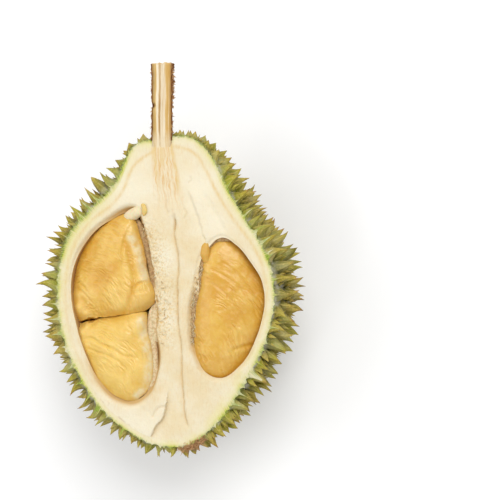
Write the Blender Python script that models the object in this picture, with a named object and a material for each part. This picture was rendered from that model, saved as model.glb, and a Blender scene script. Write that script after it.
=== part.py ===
"""Half of a durian, cut lengthwise and laid on its spiny back with the cut face up.

+Y runs from the fruit's tip to its stalk, +X to the right across the cut face and +Z out of it. The origin is
the blunted spine under the middle of the fruit, on the surface that it rests on. Everything is modelled round
the middle of the cut face and then lifted to its height by one empty. Metres.
"""

import math

import bmesh
import bpy
import numpy as np
from mathutils import Matrix, Vector
from mathutils.geometry import delaunay_2d_cdt

MM = 0.001

# Husk: the surface that the spines stand on. It is widest a little below the cut.
HUSK_DEPTH = 103 * MM  # cut face to the back
RIM_POINTS = (  # outline of the cut face, in mm, from the stalk round by the right
    (8, 131), (24, 129), (37, 118), (51, 92), (69, 61), (87, 31), (94, 1), (86, -43), (66, -81), (44, -112),
    (16, -131), (-13, -129), (-41, -114), (-76, -74), (-93, -30), (-95, 12), (-86, 46), (-63, 72), (-42, 95),
    (-26, 124), (-8, 129),
)
BULGE_AT_SIDES = 0.27  # how far the widest line lies below the cut: the sine of its angle
BULGE_AT_ENDS = 0.12
BACK_FULLNESS = 0.88  # 1 makes the back an ellipse, less makes it fuller
STALK_END_TAPER = 0.34  # how much shallower the back becomes towards the stalk
TIP_END_TAPER = 0.10
LOBE_COUNT = 5  # round the whole fruit
LOBE_SWELL = 0.02
LOBE_TURN = math.radians(18)

# Spines: one pyramid on each cell of an even scatter over the root surface.
SPINE_PITCH = 10.8 * MM
SPINE_LENGTH = 16 * MM
SPINE_SEED = 7
RELAX_ROUNDS = 30
OVER_THE_CUT = 0.25  # the scatter runs on past the cut by this share of the depth, and the cut slices it
OFF_THE_CUT = 0.42  # no spine stands nearer to the cut than this share of a pitch
REST_WEAR = 4 * MM  # blunted off the spines that it rests on
REST_REACH = 25 * MM  # spines within this of the middle are all alike, so that they share the weight

# Chambers in the cut face, and the arils that lie in them, in mm.
LEFT_CHAMBER_POINTS = (
    (-27, 67), (-38, 67), (-48, 62), (-61, 54), (-72, 42), (-80, 28), (-85, 8), (-84, -13), (-79, -35),
    (-70, -60), (-59, -79), (-43, -92), (-28, -95), (-15, -86), (-9, -65), (-10, -38), (-8, -10), (-11, 10),
    (-15, 33), (-21, 54),
)
RIGHT_CHAMBER_POINTS = (
    (50, 47), (62, 40), (74, 26), (84, 10), (87, -8), (84, -26), (77, -45), (65, -63), (48, -74), (34, -69),
    (26, -54), (22, -36), (22, -13), (26, 9), (34, 36),
)
LEFT_CHAMBER_DEPTH = 62 * MM
RIGHT_CHAMBER_DEPTH = 60 * MM
CHAMBER_FULLNESS = 2.3  # exponent of the section: 2 is an ellipse, more is boxier
UPPER_ARIL_POINTS = (
    (-31, 65), (-40, 64), (-56, 57), (-71, 45), (-82, 28), (-87, 4), (-83, -28), (-63, -25), (-34, -20),
    (-17, -17), (-10, -8), (-13, 8), (-17, 30), (-24, 53),
)
LOWER_ARIL_POINTS = (
    (-20, -18), (-14, -36), (-12, -60), (-15, -78), (-22, -88), (-30, -94), (-44, -93), (-61, -82),
    (-74, -62), (-83, -32), (-63, -27), (-42, -23),
)
RIGHT_ARIL_POINTS = (
    (49, 45), (62, 39), (74, 25), (84, 9), (87, -8), (83, -27), (76, -46), (65, -63), (47, -74), (37, -71),
    (30, -60), (25, -45), (24, -28), (28, -4), (33, 17), (38, 36),
)
ARIL_CLEARANCE = 0.6 * MM  # to the chamber's wall, and between the two on the left
ARILS_MEET_Y = -14.5 * MM  # where the two on the left press together, at the fruit's axis
ARILS_MEET_SLOPE = 0.16
ARIL_FULLNESS = 2.6
ARIL_SUNK = 4 * MM  # its widest line below the cut, on the side of the fruit's core
ARIL_SUNK_AT_WALL = 6 * MM  # and further at the outer wall

# Stalk: cut in half with the fruit.
STALK_X = -3 * MM
STALK_RADIUS = 9 * MM
STALK_ROOT_Y = 117 * MM
STALK_END_Y = 194 * MM
STALK_WAIST = 0.5 * MM  # how much slimmer it is between its ends
STALK_FLARE = 1.4 * MM  # how much it widens again at the free end
BARK_UNEVEN = 0.4 * MM
SOCKET_CLEARANCE = 0.35 * MM
SOCKET_LENGTH = 30 * MM

HUSK_COLOUR = (0.33, 0.34, 0.07)
ARIL_COLOUR = (0.86, 0.58, 0.13)
STALK_COLOUR = (0.45, 0.27, 0.12)


def smoothstep(value, start, end):
    """0 before start, 1 after end, and smooth between."""
    share = np.clip((value - start) / (end - start), 0, 1)
    return share * share * (3 - 2 * share)


class Outline:
    """A smooth closed line round a centre, through a few points given in mm."""

    def __init__(self, points, centre=(0, 0)):
        self.centre = np.array(centre, float) * MM
        offsets = np.array(points, float) * MM - self.centre
        angles = np.arctan2(offsets[:, 1], offsets[:, 0])
        order = np.argsort(angles)
        angles, radii = angles[order], np.hypot(offsets[:, 0], offsets[:, 1])[order]
        turn = 2 * math.pi
        self.angles = np.concatenate([angles[-3:] - turn, angles, angles[:3] + turn])
        self.radii = np.concatenate([radii[-3:], radii, radii[:3]])
        self.slopes = np.gradient(self.radii, self.angles)

    def radius(self, angle):
        angle = np.arctan2(np.sin(angle), np.cos(angle))
        after = np.clip(np.searchsorted(self.angles, angle), 1, len(self.angles) - 1)
        before = after - 1
        span = self.angles[after] - self.angles[before]
        t = (angle - self.angles[before]) / span
        return (
            (2 * t**3 - 3 * t**2 + 1) * self.radii[before]
            + (t**3 - 2 * t**2 + t) * span * self.slopes[before]
            + (3 * t**2 - 2 * t**3) * self.radii[after]
            + (t**3 - t**2) * span * self.slopes[after]
        )


RIM = Outline(RIM_POINTS)
LEFT_CHAMBER = Outline(LEFT_CHAMBER_POINTS, (-46, -12))
RIGHT_CHAMBER = Outline(RIGHT_CHAMBER_POINTS, (55, -15))


# ---------------------------------------------------------------- husk surface


def depth_taper(y):
    """How deep the back is at y, against the middle."""
    stalk_end = STALK_END_TAPER * smoothstep(y, 15 * MM, 125 * MM)
    tip_end = TIP_END_TAPER * smoothstep(-y, 50 * MM, 125 * MM)
    return 1 - stalk_end - tip_end


def lobe_swell(x, z):
    """Bulges over the lobes and grooves between them. It is 1 at the cut itself."""
    around = np.arctan2(-z, x)
    return 1 + LOBE_SWELL * np.cos(LOBE_COUNT * (around - LOBE_TURN))


def bulge(round_face):
    return BULGE_AT_ENDS + (BULGE_AT_SIDES - BULGE_AT_ENDS) * np.cos(round_face) ** 2


def signed_power(value, power):
    return np.copysign(np.abs(value) ** power, value)


def root_points(round_face, down):
    """Points under the spines, from the angle round the cut face and the angle down.

    The latter is 0 at the widest line and 90 degrees at the back. It is negative at the cut.
    """
    above = bulge(round_face)
    reach = RIM.radius(round_face) * np.cos(down) / np.sqrt(1 - above**2)
    x, y = reach * np.cos(round_face), reach * np.sin(round_face)
    start = above**BACK_FULLNESS
    z = -HUSK_DEPTH * (signed_power(np.sin(down), BACK_FULLNESS) + start) / (1 + start) * depth_taper(y)
    swell = lobe_swell(x, z)
    return np.stack([x * swell, y, z * swell], axis=-1)


def root_angles(points):
    """(round_face, down) of points on or near the root surface: the reverse of root_points."""
    x, y, z = points[:, 0], points[:, 1], points[:, 2]
    swell = lobe_swell(x, z)
    x, z = x / swell, z / swell / depth_taper(y)
    round_face = np.arctan2(y, x)
    above = bulge(round_face)
    start = above**BACK_FULLNESS
    out = np.hypot(x, y) / RIM.radius(round_face) * np.sqrt(1 - above**2)
    back = signed_power(-z / HUSK_DEPTH * (1 + start) - start, 1 / BACK_FULLNESS)
    return round_face, np.arctan2(back, out)


def on_root(points):
    """Points moved back onto the root surface."""
    round_face, down = root_angles(points)
    lowest = -np.arcsin(bulge(round_face) + OVER_THE_CUT)
    return root_points(round_face, np.maximum(down, lowest))


def root_normals(points):
    """Outward directions at points of the root surface."""
    round_face, down = root_angles(points)
    down = np.minimum(down, math.pi / 2 - 1e-3)
    step = 1e-3
    along = root_points(round_face + step, down) - root_points(round_face - step, down)
    across = root_points(round_face, down + step) - root_points(round_face, down - step)
    normals = np.cross(across, along)
    return normals / np.linalg.norm(normals, axis=1, keepdims=True)


# ---------------------------------------------------------------- spines


def crowding(points):
    """Spine spacing against the middle's: closer at the stalk and at the tip."""
    y = points[:, 1]
    return 1 - 0.28 * smoothstep(y, 75 * MM, 130 * MM) - 0.25 * smoothstep(-y, 85 * MM, 130 * MM)


def off_the_cut(points):
    """Spine roots moved clear of the cut, so that it runs along the valley between two rows."""
    gap = OFF_THE_CUT * SPINE_PITCH
    z = points[:, 2]
    z = np.where(np.abs(z) < gap, np.copysign(gap, z), z)
    return on_root(np.stack([points[:, 0], points[:, 1], z], axis=1))


def scatter():
    """Spine roots, evenly spread over the back and a little past the cut. The first is under the middle."""
    draw = np.random.default_rng(SPINE_SEED)
    tries = 24000
    round_face = draw.uniform(-math.pi, math.pi, tries)
    down = np.arcsin(draw.uniform(-bulge(round_face) - OVER_THE_CUT, 1))
    round_face[0], down[0] = 0, math.pi / 2
    tried = off_the_cut(root_points(round_face, down))
    nearest = 0.86 * SPINE_PITCH * crowding(tried)
    kept = [0]
    for i in range(1, tries):
        if (np.linalg.norm(tried[kept] - tried[i], axis=1) > nearest[i]).all():
            kept.append(i)
    roots = tried[kept]
    longest_move = 0.32 * SPINE_PITCH
    for _ in range(RELAX_ROUNDS):
        reach = 1.55 * SPINE_PITCH * crowding(roots)
        apart = roots[:, None] - roots[None]
        distance = np.linalg.norm(apart, axis=2) + np.eye(len(roots))
        push = np.maximum(0, 1 - distance / reach[:, None])
        push[np.eye(len(roots), dtype=bool)] = 0
        move = (apart / distance[..., None] * push[..., None]).sum(axis=1)
        move[0] = 0
        roots = off_the_cut(roots + longest_move * move)
    return roots


def spine_tips(roots):
    """The point of each spine: along the surface's normal, of uneven length, shorter at both ends.

    The spines next to the cut lean back from it, so that it leaves them whole.
    """
    draw = np.random.default_rng(SPINE_SEED + 1)
    y = roots[:, 1]
    shorter = 1 - 0.62 * smoothstep(y, 88 * MM, 128 * MM) - 0.35 * smoothstep(-y, 95 * MM, 130 * MM)
    uneven = smoothstep(np.hypot(roots[:, 0], y), REST_REACH, 1.5 * REST_REACH)
    length = SPINE_LENGTH * shorter * (1 + uneven * draw.uniform(-0.18, 0.12, len(roots)))
    lean = draw.normal(0, 0.09, roots.shape) * uneven[:, None]
    tips = roots + (root_normals(roots) + lean) * length[:, None]
    highest = np.where(roots[:, 2] < 0, 0.3 * roots[:, 2], tips[:, 2])
    tips[:, 2] = np.minimum(tips[:, 2], highest)
    return tips


def flat_map(roots):
    """The root surface laid flat round the middle of the back, for telling which spines are neighbours."""
    round_face, down = root_angles(roots)
    reach = RIM.radius(round_face) * np.tan((math.pi / 2 - down) / 2)
    return np.stack([reach * np.cos(round_face), reach * np.sin(round_face)], axis=1)


def spine_cells(roots):
    """Valley points, and for each spine that is ringed by neighbours its ring of valley points."""
    flat = flat_map(roots)
    found = delaunay_2d_cdt([Vector(p) for p in flat], [], [], 0, 1e-7)
    source = [originals[0] for originals in found[3]]
    triangles = np.array([[source[i] for i in face] for face in found[2]])
    valleys = on_root(roots[triangles].mean(axis=1))
    centres = flat[triangles].mean(axis=1)
    rings = {}
    for spine in range(len(roots)):
        touching = np.nonzero((triangles == spine).any(axis=1))[0]
        around = set(triangles[touching].ravel()) - {spine}
        if len(around) != len(touching):
            continue  # at the scatter's edge, so its ring is open
        offset = centres[touching] - flat[spine]
        rings[spine] = touching[np.argsort(np.arctan2(offset[:, 1], offset[:, 0]))]
    return valleys, rings


def close_holes(bm):
    open_edges = [edge for edge in bm.edges if edge.is_boundary]
    bmesh.ops.holes_fill(bm, edges=open_edges, sides=0)


def slice_off(bm, point, outward):
    """Cuts away what lies beyond a plane and closes the cut."""
    geometry = bm.verts[:] + bm.edges[:] + bm.faces[:]
    bmesh.ops.bisect_plane(
        bm, geom=geometry, dist=1e-6, plane_co=point, plane_no=outward, clear_outer=True
    )
    bmesh.ops.remove_doubles(bm, verts=bm.verts, dist=0.02 * MM)
    close_holes(bm)


def spiny_body(name):
    """The half husk, solid, with its spines, the flat cut face and the blunted spines it rests on."""
    roots = scatter()
    tips = spine_tips(roots)
    valleys, rings = spine_cells(roots)
    bm = bmesh.new()
    valley_verts = [bm.verts.new(p) for p in valleys]
    for spine, ring in rings.items():
        tip = bm.verts.new(tips[spine])
        for here, there in zip(ring, np.roll(ring, -1)):
            bm.faces.new((tip, valley_verts[here], valley_verts[there]))
    loose = [vert for vert in bm.verts if not vert.link_faces]
    bmesh.ops.delete(bm, geom=loose, context="VERTS")
    slice_off(bm, (0, 0, 0), (0, 0, 1))
    slice_off(bm, (0, 0, REST_Z), (0, 0, -1))
    bmesh.ops.recalc_face_normals(bm, faces=bm.faces)
    return object_from(name, bm)


BACK_Z = float(root_points(np.array([0.0]), np.array([math.pi / 2]))[0, 2])
REST_Z = BACK_Z - SPINE_LENGTH + REST_WEAR


# ---------------------------------------------------------------- chambers and arils


def rounded_rings(outline, sides, levels, fullness, height_at):
    """Rings of points from top to bottom of a rounded body whose plan is the outline."""
    angles = np.linspace(0, 2 * math.pi, sides, endpoint=False)
    rings = []
    for level in np.linspace(0, math.pi, levels + 1)[1:-1]:
        share = abs(math.sin(level)) ** (2 / fullness)
        rise = math.copysign(abs(math.cos(level)) ** (2 / fullness), math.cos(level))
        reach = outline.radius(angles) * share
        x = outline.centre[0] + reach * np.cos(angles)
        y = outline.centre[1] + reach * np.sin(angles)
        rings.append(np.stack([x, y, height_at(x, y, rise) + 0 * x], axis=1))
    x, y = outline.centre
    return rings, (x, y, height_at(x, y, 1.0)), (x, y, height_at(x, y, -1.0))


def rounded_body(name, rings, top, bottom):
    """A closed mesh through the rings, with a pole at each end."""
    bm = bmesh.new()
    loops = [[bm.verts.new(p) for p in ring] for ring in rings]
    ends = bm.verts.new(top), bm.verts.new(bottom)
    for upper, lower in zip(loops, loops[1:]):
        for i in range(len(upper)):
            bm.faces.new((upper[i - 1], lower[i - 1], lower[i], upper[i]))
    for loop, end in ((loops[0], ends[0]), (loops[-1], ends[1])):
        for i in range(len(loop)):
            bm.faces.new((loop[i - 1], loop[i], end))
    bmesh.ops.recalc_face_normals(bm, faces=bm.faces)
    return object_from(name, bm)


def chamber_cutter(name, outline, depth):
    rings, top, bottom = rounded_rings(
        outline, sides=56, levels=14, fullness=CHAMBER_FULLNESS, height_at=lambda x, y, rise: rise * depth
    )
    return as_cutter(rounded_body(name, rings, top, bottom))


def kept_inside(points, chamber, depth):
    """Points drawn towards the middle of the chamber's mouth until they clear its wall."""
    offset = points[:, :2] - chamber.centre
    angle = np.arctan2(offset[:, 1], offset[:, 0])
    across = np.hypot(offset[:, 0], offset[:, 1]) / (chamber.radius(angle) - ARIL_CLEARANCE)
    fullness = CHAMBER_FULLNESS - 0.05
    down = np.minimum(points[:, 2], 0) / (depth - ARIL_CLEARANCE)
    out = (across**fullness + np.abs(down) ** fullness) ** (1 / fullness)
    inside_flat_facets = 0.982
    scale = np.minimum(1, inside_flat_facets / np.maximum(out, 0.1))
    middle = np.array([*chamber.centre, 0])
    scale_z = np.where(points[:, 2] < 0, scale, 1)
    return middle + (points - middle) * np.stack([scale, scale, scale_z], axis=1)


def pressed_flat(points, side):
    """Points kept on their own side of the line where the two left arils meet: 1 is the upper one's side."""
    line = ARILS_MEET_Y + ARILS_MEET_SLOPE * points[:, 0] + side * ARIL_CLEARANCE / 2
    past = side * (points[:, 1] - line) < 0
    return np.stack([points[:, 0], np.where(past, line, points[:, 1]), points[:, 2]], axis=1)


def aril(name, outline, chamber, depth, crown, belly, wall_side, meets=0):
    """A fleshy pod: highest on the side of the fruit's core, sinking towards the outer wall."""

    def height_at(x, y, rise):
        sunk = ARIL_SUNK + ARIL_SUNK_AT_WALL * smoothstep(wall_side * x, 25 * MM, 88 * MM)
        return np.where(rise > 0, rise * crown, rise * belly) - sunk

    rings, top, bottom = rounded_rings(outline, 36, 12, ARIL_FULLNESS, height_at)
    rings = [kept_inside(ring, chamber, depth) for ring in rings]
    if meets:
        rings = [pressed_flat(ring, meets) for ring in rings]
    bottom = kept_inside(np.array([bottom]), chamber, depth)[0]
    return rounded_body(name, rings, top, bottom)


# ---------------------------------------------------------------- stalk


def stalk(name):
    """Half a woody stalk: round below, flat at the cut, a little wider at both ends."""
    steps, sides = 14, 12
    draw = np.random.default_rng(SPINE_SEED + 2)
    angles = np.linspace(math.pi, 2 * math.pi, sides + 1)
    bm = bmesh.new()
    loops = []
    for y in np.linspace(STALK_ROOT_Y + SOCKET_CLEARANCE, STALK_END_Y, steps + 1):
        free = smoothstep(y, STALK_ROOT_Y, STALK_ROOT_Y + SOCKET_LENGTH)
        flare = STALK_FLARE * smoothstep(y, STALK_END_Y - 12 * MM, STALK_END_Y)
        bark = BARK_UNEVEN * draw.uniform(-1, 0, sides + 1)
        reach = STALK_RADIUS + flare + free * (bark - STALK_WAIST)
        x, z = STALK_X + reach * np.cos(angles), reach * np.sin(angles)
        loops.append([bm.verts.new((x[i], y, z[i])) for i in range(sides + 1)])
    for near, far in zip(loops, loops[1:]):
        for i in range(len(near)):
            bm.faces.new((near[i - 1], near[i], far[i], far[i - 1]))
    bm.faces.new(loops[0])
    bm.faces.new(loops[-1])
    bmesh.ops.recalc_face_normals(bm, faces=bm.faces)
    return object_from(name, bm)


def stalk_socket(name):
    bm = bmesh.new()
    bmesh.ops.create_cone(
        bm,
        cap_ends=True,
        segments=28,
        radius1=STALK_RADIUS + SOCKET_CLEARANCE,
        radius2=STALK_RADIUS + SOCKET_CLEARANCE,
        depth=SOCKET_LENGTH,
    )
    bmesh.ops.rotate(bm, cent=(0, 0, 0), matrix=Matrix.Rotation(math.pi / 2, 3, "X"), verts=bm.verts)
    bmesh.ops.translate(bm, vec=(STALK_X, STALK_ROOT_Y + SOCKET_LENGTH / 2, 0), verts=bm.verts)
    return as_cutter(object_from(name, bm))


# ---------------------------------------------------------------- objects


def object_from(name, bm):
    mesh = bpy.data.meshes.new(name)
    bm.to_mesh(mesh)
    bm.free()
    made = bpy.data.objects.new(name, mesh)
    bpy.context.scene.collection.objects.link(made)
    return made


def as_cutter(made):
    made.hide_render = True
    made.display_type = "WIRE"
    return made


def cut_with(made, cutter):
    modifier = made.modifiers.new("cut_" + cutter.name, "BOOLEAN")
    modifier.operation = "DIFFERENCE"
    modifier.solver = "EXACT"
    modifier.object = cutter


def finish_with(made, colour, roughness):
    material = bpy.data.materials.new(made.name)
    material.use_nodes = True
    shader = material.node_tree.nodes["Principled BSDF"]
    shader.inputs["Base Color"].default_value = (*colour, 1)
    shader.inputs["Roughness"].default_value = roughness
    shader.inputs["Metallic"].default_value = 0
    made.data.materials.append(material)


def main():
    for old in list(bpy.data.objects):
        bpy.data.objects.remove(old)
    fruit = bpy.data.objects.new("fruit", None)
    fruit.location.z = -REST_Z
    bpy.context.scene.collection.objects.link(fruit)

    husk = spiny_body("husk")
    left = chamber_cutter("left_chamber_cutter", LEFT_CHAMBER, LEFT_CHAMBER_DEPTH)
    right = chamber_cutter("right_chamber_cutter", RIGHT_CHAMBER, RIGHT_CHAMBER_DEPTH)
    socket = stalk_socket("stalk_socket_cutter")
    for cutter in (left, right, socket):
        cut_with(husk, cutter)

    upper = Outline(UPPER_ARIL_POINTS, (-48, 16))
    lower = Outline(LOWER_ARIL_POINTS, (-46, -54))
    single = Outline(RIGHT_ARIL_POINTS, (55, -15))
    arils = [
        aril("aril_left_upper", upper, LEFT_CHAMBER, LEFT_CHAMBER_DEPTH, 10 * MM, 48 * MM, -1, 1),
        aril("aril_left_lower", lower, LEFT_CHAMBER, LEFT_CHAMBER_DEPTH, 9 * MM, 45 * MM, -1, -1),
        aril("aril_right", single, RIGHT_CHAMBER, RIGHT_CHAMBER_DEPTH, 9 * MM, 48 * MM, 1),
    ]
    stem = stalk("stalk")

    for made in (husk, left, right, socket, *arils, stem):
        made.parent = fruit
    finish_with(husk, HUSK_COLOUR, 0.6)
    for made in arils:
        made.data.shade_smooth()
        finish_with(made, ARIL_COLOUR, 0.35)
    finish_with(stem, STALK_COLOUR, 0.8)


main()
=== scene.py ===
"""The looks of half a durian that lies on its spiny back, cut face up.

Every piece is modelled in metres round the middle of the cut face: +X to the right across the cut, +Y from
the tip to the stalk, +Z out of the cut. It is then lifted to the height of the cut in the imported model.
"""

import math
from contextlib import contextmanager

import bmesh
import bpy
import numpy as np
from mathutils import Matrix, Vector, noise
from mathutils.geometry import delaunay_2d_cdt


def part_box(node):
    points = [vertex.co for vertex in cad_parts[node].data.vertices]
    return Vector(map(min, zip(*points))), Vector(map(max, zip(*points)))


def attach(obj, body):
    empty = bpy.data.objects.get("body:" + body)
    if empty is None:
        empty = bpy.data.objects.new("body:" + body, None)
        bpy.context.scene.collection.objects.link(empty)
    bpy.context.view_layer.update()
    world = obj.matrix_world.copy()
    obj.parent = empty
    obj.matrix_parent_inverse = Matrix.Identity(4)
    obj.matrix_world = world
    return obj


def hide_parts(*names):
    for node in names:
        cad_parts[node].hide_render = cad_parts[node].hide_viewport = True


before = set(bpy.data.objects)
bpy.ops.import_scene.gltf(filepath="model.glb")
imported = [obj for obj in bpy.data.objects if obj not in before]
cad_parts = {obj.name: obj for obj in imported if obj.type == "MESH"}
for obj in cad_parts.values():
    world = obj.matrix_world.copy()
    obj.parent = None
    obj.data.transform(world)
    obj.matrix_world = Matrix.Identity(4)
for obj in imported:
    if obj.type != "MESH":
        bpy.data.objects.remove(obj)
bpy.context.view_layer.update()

MM = 0.001
TURN = 2 * math.pi
CUT_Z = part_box("husk")[1].z
REST_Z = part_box("husk")[0].z - CUT_Z

# ---------------------------------------------------------------- outlines and measures

SEED_SHIFT = 13.7  # between one seed's noise and the next one's

# In mm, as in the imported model, apart from the pods, which are drawn a little closer to the photo here.
RIM_POINTS = (
    (8, 131), (24, 129), (37, 118), (51, 92), (69, 61), (87, 31), (94, 1), (86, -43), (66, -81), (44, -112),
    (16, -131), (-13, -129), (-41, -114), (-76, -74), (-93, -30), (-95, 12), (-86, 46), (-63, 72), (-42, 95),
    (-26, 124), (-8, 129),
)
LEFT_CHAMBER_POINTS = (
    (-27, 67), (-38, 67), (-48, 62), (-61, 54), (-72, 42), (-80, 28), (-85, 8), (-84, -13), (-79, -35),
    (-70, -60), (-59, -79), (-43, -92), (-28, -95), (-15, -86), (-9, -65), (-10, -38), (-8, -10), (-11, 10),
    (-15, 33), (-21, 54),
)
RIGHT_CHAMBER_POINTS = (
    (50, 47), (62, 40), (74, 26), (84, 10), (87, -8), (84, -26), (77, -45), (65, -63), (48, -74), (34, -69),
    (26, -54), (22, -36), (22, -13), (26, 9), (34, 36),
)
UPPER_ARIL_POINTS = (
    (-31, 66), (-40, 65), (-56, 58), (-71, 45), (-82, 28), (-87, 4), (-84, -32), (-63, -30), (-34, -24),
    (-24, -20), (-17, -16), (-11.5, -11), (-8.8, -4.5), (-11.5, 3), (-15, 10), (-17, 20), (-18.5, 30),
    (-25, 53),
)
LOWER_ARIL_POINTS = (
    (-21, -15), (-17, -34), (-13.5, -47), (-12, -62), (-14, -80), (-21, -90), (-30, -95), (-44, -93),
    (-61, -82), (-74, -62), (-83, -27), (-63, -22), (-42, -18),
)
RIGHT_ARIL_POINTS = (
    (49, 45), (62, 39), (74, 25), (84, 9), (87, -8), (83, -27), (76, -46), (65, -63), (47, -74), (37, -71),
    (28, -60), (24.5, -45), (24, -30), (26.5, -10), (30.5, 10), (35.5, 32), (42, 41),
)


def smoothstep(value, start, end):
    """0 before start, 1 after end, and smooth between."""
    share = np.clip((value - start) / (end - start), 0, 1)
    return share * share * (3 - 2 * share)


def hump(value, width):
    """1 at zero, falling away over the width."""
    return np.exp(-((value / width) ** 2))


def bumps(points, size, octaves=1, seed=0):
    """Smooth noise from about -1 to 1 at points in space, with features of the given size."""
    flat = np.zeros((len(points), 3))
    flat[:, : points.shape[1]] = points / size
    flat += SEED_SHIFT * seed
    return np.array([noise.fractal(Vector(p), 1.0, 2.0, octaves) for p in flat])


def unit(vector):
    return vector / np.linalg.norm(vector)


def circle(count):
    """Angles all the way round."""
    return np.linspace(-math.pi, math.pi, count, endpoint=False)


def polar(points):
    """The angle and the distance of points from the origin, in the picture's plane."""
    return np.arctan2(points[:, 1], points[:, 0]), np.hypot(points[:, 0], points[:, 1])


def from_polar(angles, reach):
    return np.stack([reach * np.cos(angles), reach * np.sin(angles)], axis=1)


def in_spots(points, spots):
    """The sum of soft round spots, each (x, y, spread, strength), the first three in mm."""
    return sum(
        strength * hump(np.hypot(points[:, 0] - x * MM, points[:, 1] - y * MM), spread * MM)
        for x, y, spread, strength in spots
    )


def smooth_line(points, between=6):
    """A smooth open line in metres through points given in mm."""
    p = np.array(points, float) * MM
    p = np.concatenate([[2 * p[0] - p[1]], p, [2 * p[-1] - p[-2]]])
    t = np.linspace(0, 1, between, endpoint=False)[:, None]
    spans = []
    for a, b, c, d in zip(p, p[1:], p[2:], p[3:]):
        spans.append(
            0.5 * (2 * b + (c - a) * t + (2 * a - 5 * b + 4 * c - d) * t**2 + (3 * b - a - 3 * c + d) * t**3)
        )
    return np.concatenate([*spans, p[-2:-1]])


def from_line(points, line):
    """Distance to the line, share of the way along it, and side of it: 1 to the left of its direction."""
    best = np.full(len(points), 1e9)
    share = np.zeros(len(points))
    side = np.ones(len(points))
    for i, (start, end) in enumerate(zip(line, line[1:])):
        run = end - start
        offset = points[:, :2] - start
        t = np.clip(offset @ run / (run @ run), 0, 1)
        gap = offset - t[:, None] * run
        distance = np.hypot(gap[:, 0], gap[:, 1])
        nearer = distance < best
        best = np.where(nearer, distance, best)
        share = np.where(nearer, (i + t) / (len(line) - 1), share)
        side = np.where(nearer, np.sign(run[0] * offset[:, 1] - run[1] * offset[:, 0]), side)
    return best, share, side


class Outline:
    """A smooth closed line round a centre, through a few points given in mm."""

    def __init__(self, points, centre=(0, 0)):
        self.centre = np.array(centre, float) * MM
        angles, radii = polar(np.array(points, float) * MM - self.centre)
        order = np.argsort(angles)
        angles, radii = angles[order], radii[order]
        self.angles = np.concatenate([angles[-3:] - TURN, angles, angles[:3] + TURN])
        self.radii = np.concatenate([radii[-3:], radii, radii[:3]])
        self.slopes = np.gradient(self.radii, self.angles)

    def radius(self, angle):
        angle = np.arctan2(np.sin(angle), np.cos(angle))
        after = np.clip(np.searchsorted(self.angles, angle), 1, len(self.angles) - 1)
        before = after - 1
        span = self.angles[after] - self.angles[before]
        t = (angle - self.angles[before]) / span
        return (
            (2 * t**3 - 3 * t**2 + 1) * self.radii[before]
            + (t**3 - 2 * t**2 + t) * span * self.slopes[before]
            + (3 * t**2 - 2 * t**3) * self.radii[after]
            + (t**3 - t**2) * span * self.slopes[after]
        )

    def points(self, angles, share=1.0):
        return self.centre + from_polar(angles, self.radius(angles) * share)

    def across(self, points):
        """(angle round the centre, share of the way out to the line)."""
        angle, reach = polar(points[:, :2] - self.centre)
        return angle, reach / self.radius(angle)

    def inwards(self, points, steps=240):
        """Distance inside the line, negative outside it."""
        line = self.points(np.linspace(0, TURN, steps + 1))
        distance = from_line(points, line)[0]
        return np.where(self.across(points)[1] < 1, distance, -distance)


RIM = Outline(RIM_POINTS)
LEFT_CHAMBER = Outline(LEFT_CHAMBER_POINTS, (-46, -12))
RIGHT_CHAMBER = Outline(RIGHT_CHAMBER_POINTS, (55, -15))

# ---------------------------------------------------------------- husk surface and spines, as in the model

HUSK_DEPTH = 103 * MM
BULGE_AT_SIDES = 0.27
BULGE_AT_ENDS = 0.12
BACK_FULLNESS = 0.88
STALK_END_TAPER = 0.34
TIP_END_TAPER = 0.10
LOBE_COUNT = 5
LOBE_SWELL = 0.02
LOBE_TURN = math.radians(18)
SPINE_PITCH = 10.8 * MM
SPINE_LENGTH = 16 * MM
SPINE_SEED = 7
SPINE_TRIES = 24000
NEAREST = 0.86  # between spines as first scattered, against the pitch
PUSHED_WITHIN = 1.55
LONGEST_PUSH = 0.32
RELAX_ROUNDS = 30
OVER_THE_CUT = 0.25
OFF_THE_CUT = 0.42
REST_REACH = 25 * MM


def depth_taper(y):
    stalk_end = STALK_END_TAPER * smoothstep(y, 15 * MM, 125 * MM)
    tip_end = TIP_END_TAPER * smoothstep(-y, 50 * MM, 125 * MM)
    return 1 - stalk_end - tip_end


def lobe_swell(x, z):
    return 1 + LOBE_SWELL * np.cos(LOBE_COUNT * (np.arctan2(-z, x) - LOBE_TURN))


def bulge(round_face):
    return BULGE_AT_ENDS + (BULGE_AT_SIDES - BULGE_AT_ENDS) * np.cos(round_face) ** 2


def signed_power(value, power):
    return np.copysign(np.abs(value) ** power, value)


def root_points(round_face, down):
    """Points under the spines, from the angle round the cut face and the angle down."""
    above = bulge(round_face)
    reach = RIM.radius(round_face) * np.cos(down) / np.sqrt(1 - above**2)
    x, y = reach * np.cos(round_face), reach * np.sin(round_face)
    start = above**BACK_FULLNESS
    z = -HUSK_DEPTH * (signed_power(np.sin(down), BACK_FULLNESS) + start) / (1 + start) * depth_taper(y)
    swell = lobe_swell(x, z)
    return np.stack([x * swell, y, z * swell], axis=-1)


def root_angles(points):
    """The reverse of root_points."""
    x, y, z = points[:, 0], points[:, 1], points[:, 2]
    swell = lobe_swell(x, z)
    x, z = x / swell, z / swell / depth_taper(y)
    round_face = np.arctan2(y, x)
    above = bulge(round_face)
    start = above**BACK_FULLNESS
    out = np.hypot(x, y) / RIM.radius(round_face) * np.sqrt(1 - above**2)
    back = signed_power(-z / HUSK_DEPTH * (1 + start) - start, 1 / BACK_FULLNESS)
    return round_face, np.arctan2(back, out)


def on_root(points):
    round_face, down = root_angles(points)
    lowest = -np.arcsin(bulge(round_face) + OVER_THE_CUT)
    return root_points(round_face, np.maximum(down, lowest))


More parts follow.
